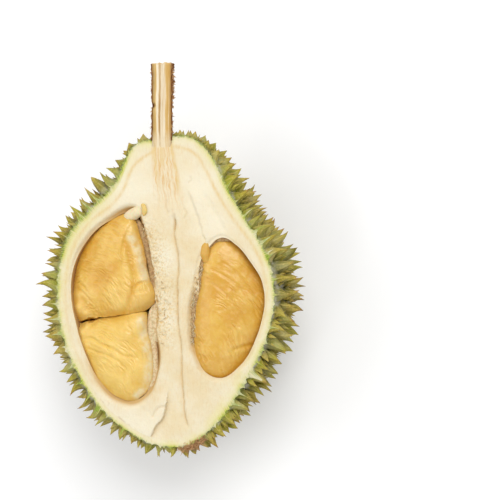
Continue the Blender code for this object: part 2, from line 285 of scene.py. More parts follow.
def root_normals(points):
    round_face, down = root_angles(points)
    down = np.minimum(down, math.pi / 2 - 1e-3)
    step = 1e-3
    along = root_points(round_face + step, down) - root_points(round_face - step, down)
    across = root_points(round_face, down + step) - root_points(round_face, down - step)
    normals = np.cross(across, along)
    return normals / np.linalg.norm(normals, axis=1, keepdims=True)


def crowding(points):
    y = points[:, 1]
    return 1 - 0.28 * smoothstep(y, 75 * MM, 130 * MM) - 0.25 * smoothstep(-y, 85 * MM, 130 * MM)


def off_the_cut(points):
    gap = OFF_THE_CUT * SPINE_PITCH
    z = points[:, 2]
    z = np.where(np.abs(z) < gap, np.copysign(gap, z), z)
    return on_root(np.stack([points[:, 0], points[:, 1], z], axis=1))


def scatter():
    """Spine roots, evenly spread over the back and a little past the cut."""
    draw = np.random.default_rng(SPINE_SEED)
    round_face = draw.uniform(-math.pi, math.pi, SPINE_TRIES)
    down = np.arcsin(draw.uniform(-bulge(round_face) - OVER_THE_CUT, 1))
    round_face[0], down[0] = 0, math.pi / 2
    tried = off_the_cut(root_points(round_face, down))
    nearest = NEAREST * SPINE_PITCH * crowding(tried)
    kept = [0]
    for i in range(1, SPINE_TRIES):
        if (np.linalg.norm(tried[kept] - tried[i], axis=1) > nearest[i]).all():
            kept.append(i)
    roots = tried[kept]
    for _ in range(RELAX_ROUNDS):
        reach = PUSHED_WITHIN * SPINE_PITCH * crowding(roots)
        apart = roots[:, None] - roots[None]
        distance = np.linalg.norm(apart, axis=2) + np.eye(len(roots))
        push = np.maximum(0, 1 - distance / reach[:, None])
        push[np.eye(len(roots), dtype=bool)] = 0
        move = (apart / distance[..., None] * push[..., None]).sum(axis=1)
        move[0] = 0
        roots = off_the_cut(roots + LONGEST_PUSH * SPINE_PITCH * move)
    return roots


def spine_tips(roots):
    draw = np.random.default_rng(SPINE_SEED + 1)
    y = roots[:, 1]
    shorter = 1 - 0.62 * smoothstep(y, 88 * MM, 128 * MM) - 0.35 * smoothstep(-y, 95 * MM, 130 * MM)
    uneven = smoothstep(np.hypot(roots[:, 0], y), REST_REACH, 1.5 * REST_REACH)
    length = SPINE_LENGTH * shorter * (1 + uneven * draw.uniform(-0.18, 0.12, len(roots)))
    lean = draw.normal(0, 0.09, roots.shape) * uneven[:, None]
    tips = roots + (root_normals(roots) + lean) * length[:, None]
    highest = np.where(roots[:, 2] < 0, 0.3 * roots[:, 2], tips[:, 2])
    tips[:, 2] = np.minimum(tips[:, 2], highest)
    return tips


def flat_map(roots):
    """The roots spread out on a plane, the middle of the back at its centre."""
    round_face, down = root_angles(roots)
    return from_polar(round_face, RIM.radius(round_face) * np.tan((math.pi / 2 - down) / 2))


def spine_cells(roots):
    """Valley points, and for each spine that is ringed by neighbours its ring of valley points."""
    flat = flat_map(roots)
    found = delaunay_2d_cdt([Vector(p) for p in flat], [], [], 0, 1e-7)
    source = [originals[0] for originals in found[3]]
    triangles = np.array([[source[i] for i in face] for face in found[2]])
    valleys = on_root(roots[triangles].mean(axis=1))
    centres = flat[triangles].mean(axis=1)
    rings = {}
    for spine in range(len(roots)):
        touching = np.nonzero((triangles == spine).any(axis=1))[0]
        around = set(triangles[touching].ravel()) - {spine}
        if len(around) != len(touching):
            continue
        offset = centres[touching] - flat[spine]
        rings[spine] = touching[np.argsort(np.arctan2(offset[:, 1], offset[:, 0]))]
    return valleys, rings


# ---------------------------------------------------------------- the cut face's relief

STALK_X = -3 * MM
STALK_RADIUS = 9 * MM
STALK_ROOT_Y = 117 * MM
STALK_END_Y = 194 * MM
NOTCH_Y = 158 * MM

SEAM = smooth_line(((8, 66), (9, 58), (8, 48), (11, 33), (12, 21), (11, 6), (11, -13), (12, -32), (14, -46),
                    (15, -68), (16, -89), (18, -107), (22, -119)))
FISSURES = tuple(
    smooth_line(line)
    for line in (
        ((2, 77), (1, 72), (3, 66)),
        ((6, 69), (7, 63), (9, 59), (8, 52)),
        ((17, 70), (19, 66), (17, 62)),
        ((22, 97), (23, 94), (21, 92)),
    )
)
COLUMN_RIDGE = smooth_line(((19, 90), (23, 80), (27, 71), (31, 59), (34, 48)))
CREASE = smooth_line(((36, 79), (43, 67), (51, 53)))
FLAP_END = smooth_line(((0, -98), (-5, -99), (-9, -103), (-11, -107)))
GROOVES = (*((fissure, 0.6, 0.9) for fissure in FISSURES), (CREASE, 0.7, 2.2), (FLAP_END, 0.9, 0.9))
FLAP = smooth_line(((1, -97), (0, -103), (-3, -110), (-8, -115), (-11, -121), (-14, -130)))
LEFT_CREVICE = smooth_line(((-27, 61), (-21, 43), (-16, 25), (-12, 6), (-8, -6), (-9, -30), (-8, -50)))
RIGHT_SHREDS = smooth_line(((35, 27), (30, 14), (27, 0), (25, -18), (25, -34), (25, -46)))
TAN_LINES = (
    smooth_line(((-11, 131), (-8, 124), (-12, 118), (-22, 112), (-30, 103), (-37, 86), (-47, 74), (-58, 66),
                 (-70, 56), (-80, 41), (-87, 20), (-89, -8), (-84, -40), (-73, -66), (-60, -86))),
    smooth_line(((5, 131), (4, 124), (12, 122), (22, 119), (30, 112), (38, 98), (45, 84), (54, 69), (65, 54),
                 (76, 39), (85, 20), (88, -5), (82, -34), (72, -56), (60, -76))),
)
STREAKS = (
    smooth_line(((-9, 126), (-10, 118), (-8, 107), (-7, 94), (-5, 84))),
    smooth_line(((-3, 128), (-3, 114), (-2, 98))),
    smooth_line(((4, 126), (7, 116), (10, 101), (12, 86), (16, 74))),
)
WHITER = (  # (x, y, spread, strength), the first three in mm
    (-27, 88, 24, 1), (30, 88, 22, 1), (-38, -107, 22, 1), (45, 55, 14, 1), (0, 28, 11, 1), (2, -25, 9, 1),
)
WARMER = (
    (-11, -25, 9, 0.9), (-8, -50, 8, 0.7), (20, -20, 9, 0.4), (-12, -88, 12, 0.7), (-40, -97, 9, 0.5),
    (28, -70, 14, 0.4), (-18, 36, 7, 0.4), (20, 40, 8, 0.3), (-2, -118, 9, 0.3),
)
BRUISES = (
    smooth_line(((-66, -86), (-58, -94), (-50, -97))),
    smooth_line(((-42, -108), (-32, -116), (-20, -124))),
)
INTERFACE = 0.965  # how far out the pith meets the rind, against the rim
UNDER_STALK_DEPTH = 1.2 * MM


def under_stalk(points):
    """1 where the stalk lies in the cut face, 0 clear of it."""
    beside = 1 - smoothstep(np.abs(points[:, 0] - STALK_X), STALK_RADIUS - 0.4 * MM, STALK_RADIUS + 0.7 * MM)
    return beside * smoothstep(points[:, 1], STALK_ROOT_Y + 4 * MM, STALK_ROOT_Y + 9 * MM)


def wobbled(points):
    """The points, moved about a little, so that what follows a line wavers."""
    sideways = [bumps(points, 6 * MM, 2, seed) for seed in (13, 14)]
    return points[:, :2] + 0.6 * MM * np.stack(sideways, axis=1)


def green_width(points):
    """How much wider than usual the green edge of the flesh is."""
    angle = np.degrees(polar(points)[0])
    return 0.75 + 0.5 * hump(angle + 52, 24) + 0.5 * hump(angle - 140, 40) - 0.3 * hump(angle + 115, 25)


def torn_share(points):
    """1 where the core is torn and spongy, along the chambers' inner edges, and 0 where it is smooth."""
    left, right = (from_line(points, line)[0] for line in (LEFT_CREVICE, RIGHT_SHREDS))
    middle = smoothstep(points[:, 1], -62 * MM, -30 * MM) * (1 - smoothstep(points[:, 1], 52 * MM, 72 * MM))
    return np.clip(hump(left, 18 * MM) * middle + 0.9 * hump(right, 4.2 * MM), 0, 1)


def turned(angle, middle):
    """How far an angle is turned from another given in degrees, in radians and never negative."""
    return np.abs(np.arctan2(np.sin(angle - math.radians(middle)), np.cos(angle - math.radians(middle))))


LIP_WIDTH = 1.6 * MM
LIP_DEPTH = 0.9 * MM
LEFT_SLOPES = (  # (middle and spread in degrees, how much wider and deeper the lip is there in mm)
    (60, 16, 2.4, 3), (32, 16, 2.4, 3), (-48, 17, 8, 7), (-16, 16, 5, 4.5), (-92, 26, 7, 3.5),
    (80, 15, 6, 4.5), (115, 22, 2, 2),
)
RIGHT_SLOPES = ((-132, 22, 3.5, 2.5), (-80, 25, 3, 1.2), (175, 32, 1.8, 2.4))


def lip(points, outline, slopes):
    """How far the face has fallen towards a chamber's mouth."""
    angle, share = outline.across(points)
    outside = np.maximum(0, (share - 1) * outline.radius(angle))
    width, depth = LIP_WIDTH, LIP_DEPTH
    for middle, spread, wider, deeper in slopes:
        here = hump(turned(angle, middle), math.radians(spread))
        width = width + wider * MM * here
        depth = depth + deeper * MM * here
    return (1 - smoothstep(outside, 0, width)) ** 1.5 * depth


def face_height(points):
    """Height of the cut face against the flat cut."""
    height = 0.55 * MM * bumps(points, 26 * MM, 2, 1) + 0.16 * MM * bumps(points, 6 * MM, 2, 2)
    crumbs = np.abs(bumps(points, 4.5 * MM, 3, 3)) * 2.2
    height += torn_share(points) ** 1.4 * (1.5 * MM * (0.45 - crumbs) - 0.3 * MM)
    wrinkled = hump(np.hypot(points[:, 0] - 7 * MM, (points[:, 1] - 74 * MM) / 2), 10 * MM)
    height -= 0.9 * MM * wrinkled * np.abs(bumps(points[:, :2] * [1, 0.4], 4 * MM, 2, 4))
    wavering = wobbled(points)
    for line, depth, width in GROOVES:
        height -= depth * MM * hump(from_line(wavering, line)[0], width * MM)
    distance, along, side = from_line(wavering, SEAM)
    seam = 0.9 * hump(distance, 0.9 * MM) + 0.5 * hump(distance, 3.5 * MM)
    seam += 1.1 * (side < 0) * hump(distance, 6 * MM)
    height -= MM * seam * smoothstep(along, 0, 0.08) * (1 - smoothstep(along, 0.94, 1))
    distance, along, side = from_line(wavering, COLUMN_RIDGE)
    fall = smoothstep(side * distance, -1.8 * MM, 0.4 * MM)
    height += 1.9 * MM * (fall - 0.5) * hump(distance, 7 * MM) * smoothstep(along, 0, 0.3)
    distance, _, side = from_line(wavering, FLAP)
    height += 2.8 * MM * (smoothstep(-side * distance, -0.5 * MM, 0.5 * MM) - 0.5) * hump(distance, 9 * MM)
    height *= smoothstep(RIM.inwards(points), 1 * MM, 9 * MM)
    height -= lip(points, LEFT_CHAMBER, LEFT_SLOPES) + lip(points, RIGHT_CHAMBER, RIGHT_SLOPES)
    return height - UNDER_STALK_DEPTH * under_stalk(points)


# ---------------------------------------------------------------- meshes


def piece(mesh, materials, replaced=None):
    """Puts a finished piece at the height of the cut, riding on the part."""
    made = bpy.data.objects.new(mesh.name, mesh)
    made.location.z = CUT_Z
    bpy.context.scene.collection.objects.link(made)
    bpy.context.view_layer.update()
    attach(made, "root")
    for material in materials:
        mesh.materials.append(material)
    if replaced:
        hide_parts(replaced)


@contextmanager
def edited(mesh):
    """The mesh's faces and edges, open to changes that are then kept."""
    bm = bmesh.new()
    bm.from_mesh(mesh)
    yield bm
    bm.to_mesh(mesh)
    bm.free()


class Builder:
    """Collects points, faces and point values, and turns them into one mesh."""

    def __init__(self, *values):
        self.points = []
        self.values = {name: [] for name in values}
        self.faces = []
        self.materials = []
        self.count = 0

    def add_points(self, points, **values):
        """Adds points and returns their numbers."""
        points = np.atleast_2d(points)
        first = self.count
        self.count += len(points)
        self.points.append(points)
        for name, kept in self.values.items():
            kept.append(np.broadcast_to(values.get(name, 0.0), len(points)))
        return np.arange(first, self.count)

    def add_point(self, point, **values):
        return self.add_points(point, **values)[0]

    def add_faces(self, faces, material=0):
        self.faces.extend(faces)
        self.materials.extend([material] * len(faces))

    def bridge(self, near, far, closed=True, material=0):
        """Four-sided faces between two rows of as many points."""
        rows = range(len(near)) if closed else range(1, len(near))
        self.add_faces([(near[i - 1], near[i], far[i], far[i - 1]) for i in rows], material)

    def skin(self, rows, start=None, end=None, material=0):
        """Faces between rings of as many points, drawn together in a point at the start, the end or both."""
        for near, far in zip(rows, rows[1:]):
            self.bridge(near, far, material=material)
        for ring, point in ((rows[0], start), (rows[-1], end)):
            if point is not None:
                self.add_faces([(ring[i - 1], ring[i], point) for i in range(len(ring))], material)

    def mesh(self, name, sharp=None):
        mesh = bpy.data.meshes.new(name)
        faces = [tuple(int(i) for i in face) for face in self.faces]
        mesh.from_pydata(np.concatenate(self.points), [], faces)
        mesh.polygons.foreach_set("material_index", self.materials)
        for value, kept in self.values.items():
            layer = mesh.attributes.new(value, "FLOAT", "POINT")
            layer.data.foreach_set("value", np.concatenate(kept).astype(np.float32))
        with edited(mesh) as bm:
            bmesh.ops.recalc_face_normals(bm, faces=bm.faces)
        mesh.shade_smooth()
        if sharp is not None:
            mesh.set_sharp_from_angle(angle=math.radians(sharp))
        return mesh


def filled(loops, inner, keep):
    """Triangles between closed loops of points, through inner points. Loops come first in the numbering."""
    points = np.concatenate([*loops, inner])
    edges = []
    first = 0
    for loop in loops:
        edges += [(first + i, first + (i + 1) % len(loop)) for i in range(len(loop))]
        first += len(loop)
    found = delaunay_2d_cdt([Vector(p) for p in points[:, :2]], edges, [], 1, 1e-9)
    source = np.array([originals[0] for originals in found[3]])
    triangles = source[np.array(found[2])]
    return points, triangles[keep(points[triangles].mean(axis=1))]


# ---------------------------------------------------------------- rind

SPINE_SPLITS = 3  # points on each side of a spine's foot
SPINE_LEVELS = (0.1, 0.26, 0.45, 0.65, 0.83, 0.94)
SMALL_SPINE_SIDES = 8
SMALL_SPINE_LEVELS = (-0.12, 0.2, 0.5, 0.8)
WELD = 0.02 * MM
EVEN = 0.02  # what the value called rim is on hidden flesh
FACET_HOLLOW = 0.3
SKIN_STEPS = 14
INTERFACE_SIDES = 300


def skirt(builder, top, share, material):
    """The hidden surface under the rind, from its row of points at the cut down to the back."""
    angles = circle(len(top))
    start = -np.arcsin(bulge(angles))
    rows = [top]
    for step in np.linspace(0, 1, SKIN_STEPS + 1)[1:-1]:
        down = start + (math.pi / 2 - start) * step
        rows.append(builder.add_points(share * root_points(angles, down), rim=EVEN))
    pole = builder.add_point(share * root_points(np.zeros(1), np.full(1, math.pi / 2)), rim=EVEN)
    builder.skin(rows, end=pole, material=material)


def interface_loop():
    """Where rind and pith meet in the cut face."""
    flat = RIM.points(circle(INTERFACE_SIDES), INTERFACE)
    return np.column_stack([flat, face_height(flat)])


def spine_points(roots, valleys, rings):
    """A builder filled with the spines, still whole where the cut and the resting place slice them."""
    tips = spine_tips(roots)
    draw = np.random.default_rng(SPINE_SEED + 5)
    builder = Builder("height", "ridge", "own")
    corner_numbers = builder.add_points(valleys, ridge=0.35)
    shares = np.arange(1, SPINE_SPLITS)[:, None] / SPINE_SPLITS
    sides = {}
    for spine, ring in rings.items():
        foot, spots = [], []
        for here, there in zip(ring, np.roll(ring, -1)):
            key = low, high = min(here, there), max(here, there)
            if key not in sides:
                line = valleys[low] + (valleys[high] - valleys[low]) * shares
                line = on_root(line + draw.normal(0, 0.25 * MM, line.shape))
                sides[key] = builder.add_points(line), line
            numbers, line = sides[key]
            if low != here:
                numbers, line = numbers[::-1], line[::-1]
            foot += [corner_numbers[here], *numbers]
            spots += [valleys[here], *line]
        corner = (np.arange(len(foot)) % SPINE_SPLITS == 0).astype(float)
        root, tip = roots[spine], tips[spine]
        own = draw.uniform(0, 1)
        bend = draw.normal(0, 0.085, 3) * np.linalg.norm(tip - root)
        ridge_size = draw.uniform(0.78, 1.18, len(foot)) * corner + (1 - corner)
        rows = [foot]
        for t in SPINE_LEVELS:
            width = 0.17 * (1 - t) ** 4 + 0.83 * (1 - t) ** 1.08
            hollow = 1 - FACET_HOLLOW * (1 - corner) * math.sin(math.pi * min(1, 0.25 + 0.8 * t))
            swell = 1 + (ridge_size - 1) * math.sin(math.pi * t)
            axis = root + (tip - root) * t + bend * math.sin(math.pi * t)
            level = axis + (np.array(spots) - root) * (width * hollow * swell)[:, None]
            rows.append(builder.add_points(level, height=t, ridge=corner, own=own))
        builder.skin(rows, end=builder.add_point(tip + bend * 0.1, height=1.0, ridge=1.0, own=own))
    return builder


def rim_row():
    """Spots just under the rim's lower half."""
    draw = np.random.default_rng(SPINE_SEED + 11)
    angles = np.radians(np.arange(-165, -15, 3.4))
    angles += np.radians(draw.uniform(-0.8, 0.8, len(angles)))
    return on_root(np.column_stack([RIM.points(angles), -draw.uniform(4, 7.5, len(angles)) * MM]))


def small_spines(valleys):
    """Short spines that stand in the valleys between the others, and in a row under the lower rim."""
    draw = np.random.default_rng(SPINE_SEED + 9)
    in_valleys = len(valleys)
    valleys = np.concatenate([valleys, rim_row()])
    builder = Builder("height", "ridge", "own")
    around = np.linspace(0, TURN, SMALL_SPINE_SIDES, endpoint=False)
    corner = (np.arange(SMALL_SPINE_SIDES) % 2 == 0).astype(float)
    for i, (valley, normal) in enumerate(zip(valleys, root_normals(valleys))):
        length = SPINE_LENGTH * draw.uniform(0.35, 0.65)
        reach = draw.uniform(2.0, 3.2) * MM
        if i < in_valleys:
            length *= 1 - 0.4 * smoothstep(abs(valley[1]), 95 * MM, 130 * MM)
        else:
            length *= 1.15
            reach *= 1.45
        axis = unit(normal + draw.normal(0, 0.2, 3)) * length
        own = draw.uniform()
        clear = valley[2] < -3 * MM and valley[2] + min(0, axis[2]) > REST_Z + 2 * MM
        if not clear or draw.uniform() < 0.15:
            continue
        side = unit(np.cross(axis, (0.3, 1, 0.2)))
        up = unit(np.cross(side, axis))
        bend = draw.normal(0, 0.08, 3) * length
        rows = []
        for t in SMALL_SPINE_LEVELS:
            ring = np.outer(np.cos(around), side) + np.outer(np.sin(around), up)
            ring *= (reach * (1 - max(t, 0)) ** 1.1 * (1 - 0.25 * (1 - corner)))[:, None]
            level = valley + axis * t + bend * math.sin(math.pi * max(t, 0)) + ring
            rows.append(builder.add_points(level, height=max(0.05, t), ridge=corner, own=own))
        root = builder.add_point(valley - 0.3 * axis, own=own)
        builder.skin(rows, root, builder.add_point(valley + axis, height=1.0, ridge=1.0, own=own))
    return builder.mesh("small_spines")


def rind(roots, valleys, rings):
    """The spiny skin, sliced at the cut and where it rests, with a thin band and a hidden surface."""
    mesh = spine_points(roots, valleys, rings).mesh("rind")
    with edited(mesh) as bm:
        bmesh.ops.delete(bm, geom=[vert for vert in bm.verts if not vert.link_faces], context="VERTS")
        sliced(bm, REST_Z, False)
        sliced(bm, 0, True)
    with edited(mesh) as bm:
        close_rind(bm)
    return mesh


def sliced(bm, height, above):
    """Cuts away what lies above or below a level. What it rests on is closed again; the cut stays open."""
    geometry = bm.verts[:] + bm.edges[:] + bm.faces[:]
    cut = bmesh.ops.bisect_plane(
        bm, geom=geometry, dist=1e-6, plane_co=(0, 0, height), plane_no=(0, 0, 1 if above else -1),
        clear_outer=True,
    )
    if not above:
        edges = [item for item in cut["geom_cut"] if isinstance(item, bmesh.types.BMEdge)]
        bmesh.ops.holes_fill(bm, edges=edges, sides=0)
        bmesh.ops.triangulate(bm, faces=[face for face in bm.faces if len(face.verts) > 4])


def open_loops(bm):
    """The mesh's open edges, as lists of vertices in order, longest first."""
    following = {}
    for edge in bm.edges:
        if edge.is_boundary:
            for here, there in (edge.verts, reversed(edge.verts)):
                following.setdefault(here, []).append(there)
    loops = []
    while following:
        start = next(iter(following))
        loop = [start]
        while True:
            ways = following.pop(loop[-1], [])
            onward = [vert for vert in ways if vert in following]
            if not onward:
                break
            loop.append(onward[0])
        loops.append(loop)
    return sorted(loops, key=len, reverse=True)


def close_rind(bm):
    """Fills the band between the rim's edge and the pith, and adds the hidden surface under the rind."""
    rim_layer = bm.verts.layers.float.new("rim")
    bmesh.ops.remove_doubles(bm, verts=bm.verts, dist=WELD)
    edge, *scraps = open_loops(bm)
    for scrap in scraps:
        if len(scrap) > 2:
            bm.faces.new(scrap)
    outer = np.array([vert.co[:] for vert in edge])
    inner = interface_loop()
    points, triangles = filled(
        (outer[:, :2], inner[:, :2]), between_loops(outer, inner),
        lambda spots: RIM.across(spots)[1] > INTERFACE,
    )
    heights = face_height(points)
    count = len(outer)
    verts = edge + [bm.verts.new((*point, height)) for point, height in zip(points[count:], heights[count:])]
    for vert, height in zip(edge, heights):
        vert.co.z = min(0, height)
    for vert, distance in zip(verts, np.maximum(0, RIM.inwards(points)) / green_width(points)):
        vert[rim_layer] = distance
    ring = verts[count:count + len(inner)]
    for triangle in triangles:
        bm.faces.new([verts[i] for i in triangle]).material_index = 1
    below = Builder("rim")
    skirt(below, below.add_points(inner), INTERFACE, 1)
    hidden = ring + [bm.verts.new(spot) for spot in np.concatenate(below.points)[len(inner):]]
    for face in below.faces:
        bm.faces.new([hidden[i] for i in face]).material_index = 1
    bmesh.ops.recalc_face_normals(bm, faces=bm.faces)
    for face in bm.faces:
        face.smooth = True
    creases = set(edge), set(ring)
    for bordering in bm.edges:
        bordering.smooth = not any(crease.issuperset(bordering.verts) for crease in creases)


def between_loops(outer, inner):
    """Points halfway between the rim's edge and the pith, so that the band can dip under the stalk."""
    angles = circle(2 * len(inner))
    out_angle, out_reach = polar(outer)
    order = np.argsort(out_angle)
    reach = np.interp(angles, out_angle[order], out_reach[order], period=TURN)
    return from_polar(angles, np.minimum(0.5 * (reach + INTERFACE * RIM.radius(angles)), reach - 0.6 * MM))


# ---------------------------------------------------------------- pith

FACE_SPACING = 0.95 * MM
FACE_REACH = np.array([0.1, 0.135])
FACE_JITTER = 0.12  # of the spacing
MOUTHS = (  # (outline, depth, seed, (where in degrees, spread, how much narrower there in mm) ...)
    (LEFT_CHAMBER, 62 * MM, 21, ((46, 24, -1.4), (-32, 27, 3))),
    (RIGHT_CHAMBER, 60 * MM, 22, ((165, 45, 5), (108, 14, 1.2))),
)
CLOSED_IN = 0.7 * MM
CHAMBER_FULLNESS = 2.3
MOUTH_SIDES = 260
LINING_LEVELS = 22
WALL_SHADE_DEPTH = 8 * MM  # the depth at which the painted shade on a chamber's wall is darkest


class Mouth:
    """The edge of a chamber in the cut face, a little closed in on the pods, and ragged where it is torn."""

    def __init__(self, outline, depth, seed, narrower):
        self.centre = outline.centre
        self.depth = depth
        self.angles = circle(MOUTH_SIDES)
        smooth = outline.points(self.angles)
        ragged = (0.12 + 0.75 * torn_share(smooth)) * MM * bumps(smooth, 3.5 * MM, 3, seed)
        self.radii = outline.radius(self.angles) + ragged - CLOSED_IN
        for middle, spread, closer in narrower:
            self.radii -= closer * MM * hump(turned(self.angles, middle), math.radians(spread))
        self.out = from_polar(self.angles, self.radii)
        self.flat = self.centre + self.out

    def outside(self, points, margin):
        angle, reach = polar(points[:, :2] - self.centre)
        return reach > np.interp(angle, self.angles, self.radii, period=TURN) + margin


def face_values(points):
    """Point values that colour the cut face: see flesh_material."""
    x, y = points[:, 0], points[:, 1]
    brown = np.zeros(len(points))
    for line in TAN_LINES:
        distance, along, _ = from_line(points, line)
        brown += hump(distance, 1.5 * MM) * (1 - 0.6 * smoothstep(along, 0.55, 1))
    for line in STREAKS:
        distance, along, _ = from_line(points, line)
        brown += hump(distance, (1.1 + 0.8 * along) * MM) * (1 - smoothstep(along, 0.55, 1))
    brown *= 0.85 + 0.5 * bumps(points, 9 * MM, 2, 11)
    down = (128 * MM - y) / (60 * MM)
    fan_across = (x - STALK_X - 7 * MM * down) / (9 * MM + 5 * MM * down)
    fan = (1 - smoothstep(np.abs(fan_across), 0.75, 1.15)) * (1 - smoothstep(down, 0.5, 1.15))
    wavering = wobbled(points)
    distance, along, _ = from_line(wavering, SEAM)
    crack_and_shadow = hump(distance, 0.9 * MM) * (1 - smoothstep(along, 0.93, 1))
    crack_and_shadow *= 0.35 + 0.3 * bumps(points, 7 * MM, 1, 12)
    for line, strength, width in (*((fissure, 0.3, 0.7) for fissure in FISSURES), (FLAP_END, 0.35, 0.7)):
        crack_and_shadow += strength * hump(from_line(wavering, line)[0], width * MM)
    for bruise in BRUISES:
        blotched = smoothstep(bumps(points, 3 * MM, 2, 15), 0, 0.4)
        crack_and_shadow += 0.7 * hump(from_line(wavering, bruise)[0], 1.3 * MM) * blotched
    distance, _, side = from_line(wavering, FLAP)
    # the flap's edge is a dark crack; the strip on its lower, right side is painted shadow
    crack_and_shadow += 0.4 * hump(distance, 0.5 * MM) + 0.35 * (side > 0) * hump(distance, 2.2 * MM)
    white = in_spots(points, WHITER) + 0.8 * (side < 0) * hump(distance, 14 * MM)
    by_stalk = 1 - smoothstep(np.abs(x - STALK_X), STALK_RADIUS - 2 * MM, STALK_RADIUS + 2 * MM)
    ungreen = 16 * MM * by_stalk * (y > 90 * MM)
    # deep: painted shade where the face sinks towards a chamber
    sunk = np.clip((-face_height(points) - 1.2 * MM) / WALL_SHADE_DEPTH, 0, 1)
    return {
        "rim": np.maximum(RIM.inwards(points), ungreen) / green_width(points),
        "deep": sunk * (1 - under_stalk(points)),
        "warm": np.clip(in_spots(points, WARMER), 0, 1),
        "brown": np.clip(brown, 0, 1.2),
        "crack_and_shadow": np.clip(crack_and_shadow, 0, 1),
        "torn": torn_share(points),
        "fan": np.clip(fan, 0, 1),
        "fan_across": fan_across,
        "white": np.clip(white, 0, 1),
    }


def hexagonal_grid(low, high, spacing):
    rows = np.arange(low[1], high[1], spacing * math.sqrt(0.75))
    columns = np.arange(low[0], high[0], spacing)
    x, y = np.meshgrid(columns, rows)
    x = x + 0.5 * spacing * (np.arange(len(rows)) % 2)[:, None]
    return np.stack([x.ravel(), y.ravel()], axis=1)


def pith():
    """The white flesh: its cut face in relief, the linings of the chambers and a hidden back."""
    mouths = [Mouth(*measures) for measures in MOUTHS]
    grid = hexagonal_grid(-FACE_REACH, FACE_REACH, FACE_SPACING)
    grid = grid + np.random.default_rng(31).uniform(-FACE_JITTER, FACE_JITTER, grid.shape) * FACE_SPACING
    grid = grid[RIM.across(grid)[1] < INTERFACE - 0.006]
    for mouth in mouths:
        grid = grid[mouth.outside(grid, 0.5 * FACE_SPACING)]
    loop = interface_loop()
    flat, triangles = filled(
        (loop[:, :2], *(mouth.flat for mouth in mouths)), grid,
        lambda spots: np.all([mouth.outside(spots, 0) for mouth in mouths], axis=0),
    )
    builder = Builder("rim", "brown", "crack_and_shadow", "torn", "deep", "fan", "fan_across", "white", "warm")
    heights = face_height(flat)
    numbers = builder.add_points(np.column_stack([flat, heights]), **face_values(flat))
    builder.add_faces(triangles)
    for i, mouth in enumerate(mouths):
        edge = slice(len(loop) + i * MOUTH_SIDES, len(loop) + (i + 1) * MOUTH_SIDES)
        lining(builder, mouth, numbers[edge], heights[edge])
    skirt(builder, numbers[: len(loop)], INTERFACE - 0.002, 0)
    return builder.mesh("pith", sharp=42)


def lining(builder, mouth, edge, top):
    """A chamber's wall, from its mouth down to a pole under its middle."""
    torn = torn_share(mouth.flat)
    outward = mouth.out / np.linalg.norm(mouth.out, axis=1, keepdims=True)
    rows = [edge]
    for step in (np.arange(1, LINING_LEVELS) / LINING_LEVELS) ** 1.5 * math.pi / 2:
        share = math.cos(step) ** (2 / CHAMBER_FULLNESS)
        down = math.sin(step) ** (2 / CHAMBER_FULLNESS)
        z = top * (1 - down) - mouth.depth * down
        spots = np.column_stack([mouth.centre + mouth.out * share, z])
        push = (0.25 + 0.9 * torn) * MM * share * bumps(spots, 4 * MM, 2, 23)
        spots[:, :2] += outward * push[:, None]
        # deep: painted shade that darkens the wall as it goes down
        rows.append(builder.add_points(spots, deep=np.clip(-z / WALL_SHADE_DEPTH, 0, 1), torn=torn, rim=EVEN))
    builder.skin(rows, end=builder.add_point(np.array([*mouth.centre, -mouth.depth]), deep=1.0, rim=EVEN))


# ---------------------------------------------------------------- arils

ARIL_SIDES = 360
ARIL_TOP_LEVELS = 110
ARIL_BELLY_LEVELS = 16
ARIL_CLEARANCE = 0.2 * MM
ARILS_MEET_Y = -14.5 * MM
ARILS_MEET_SLOPE = 0.16
ARIL_FULLNESS = 2.6
ARIL_SUNK = 4 * MM


def kept_inside(points, chamber, depth):
    """Points drawn towards the middle of the chamber's mouth until they clear its wall."""
    angle, reach = polar(points[:, :2] - chamber.centre)
    across = reach / (chamber.radius(angle) - ARIL_CLEARANCE)
    down = np.minimum(points[:, 2], 0) / (depth - ARIL_CLEARANCE)
    fullness = CHAMBER_FULLNESS - 0.05
    out = (across**fullness + np.abs(down) ** fullness) ** (1 / fullness)
    scale = np.minimum(1, 0.995 / np.maximum(out, 0.1))
    middle = np.array([*chamber.centre, 0])
    return middle + (points - middle) * np.stack([scale, scale, np.where(points[:, 2] < 0, scale, 1)], axis=1)


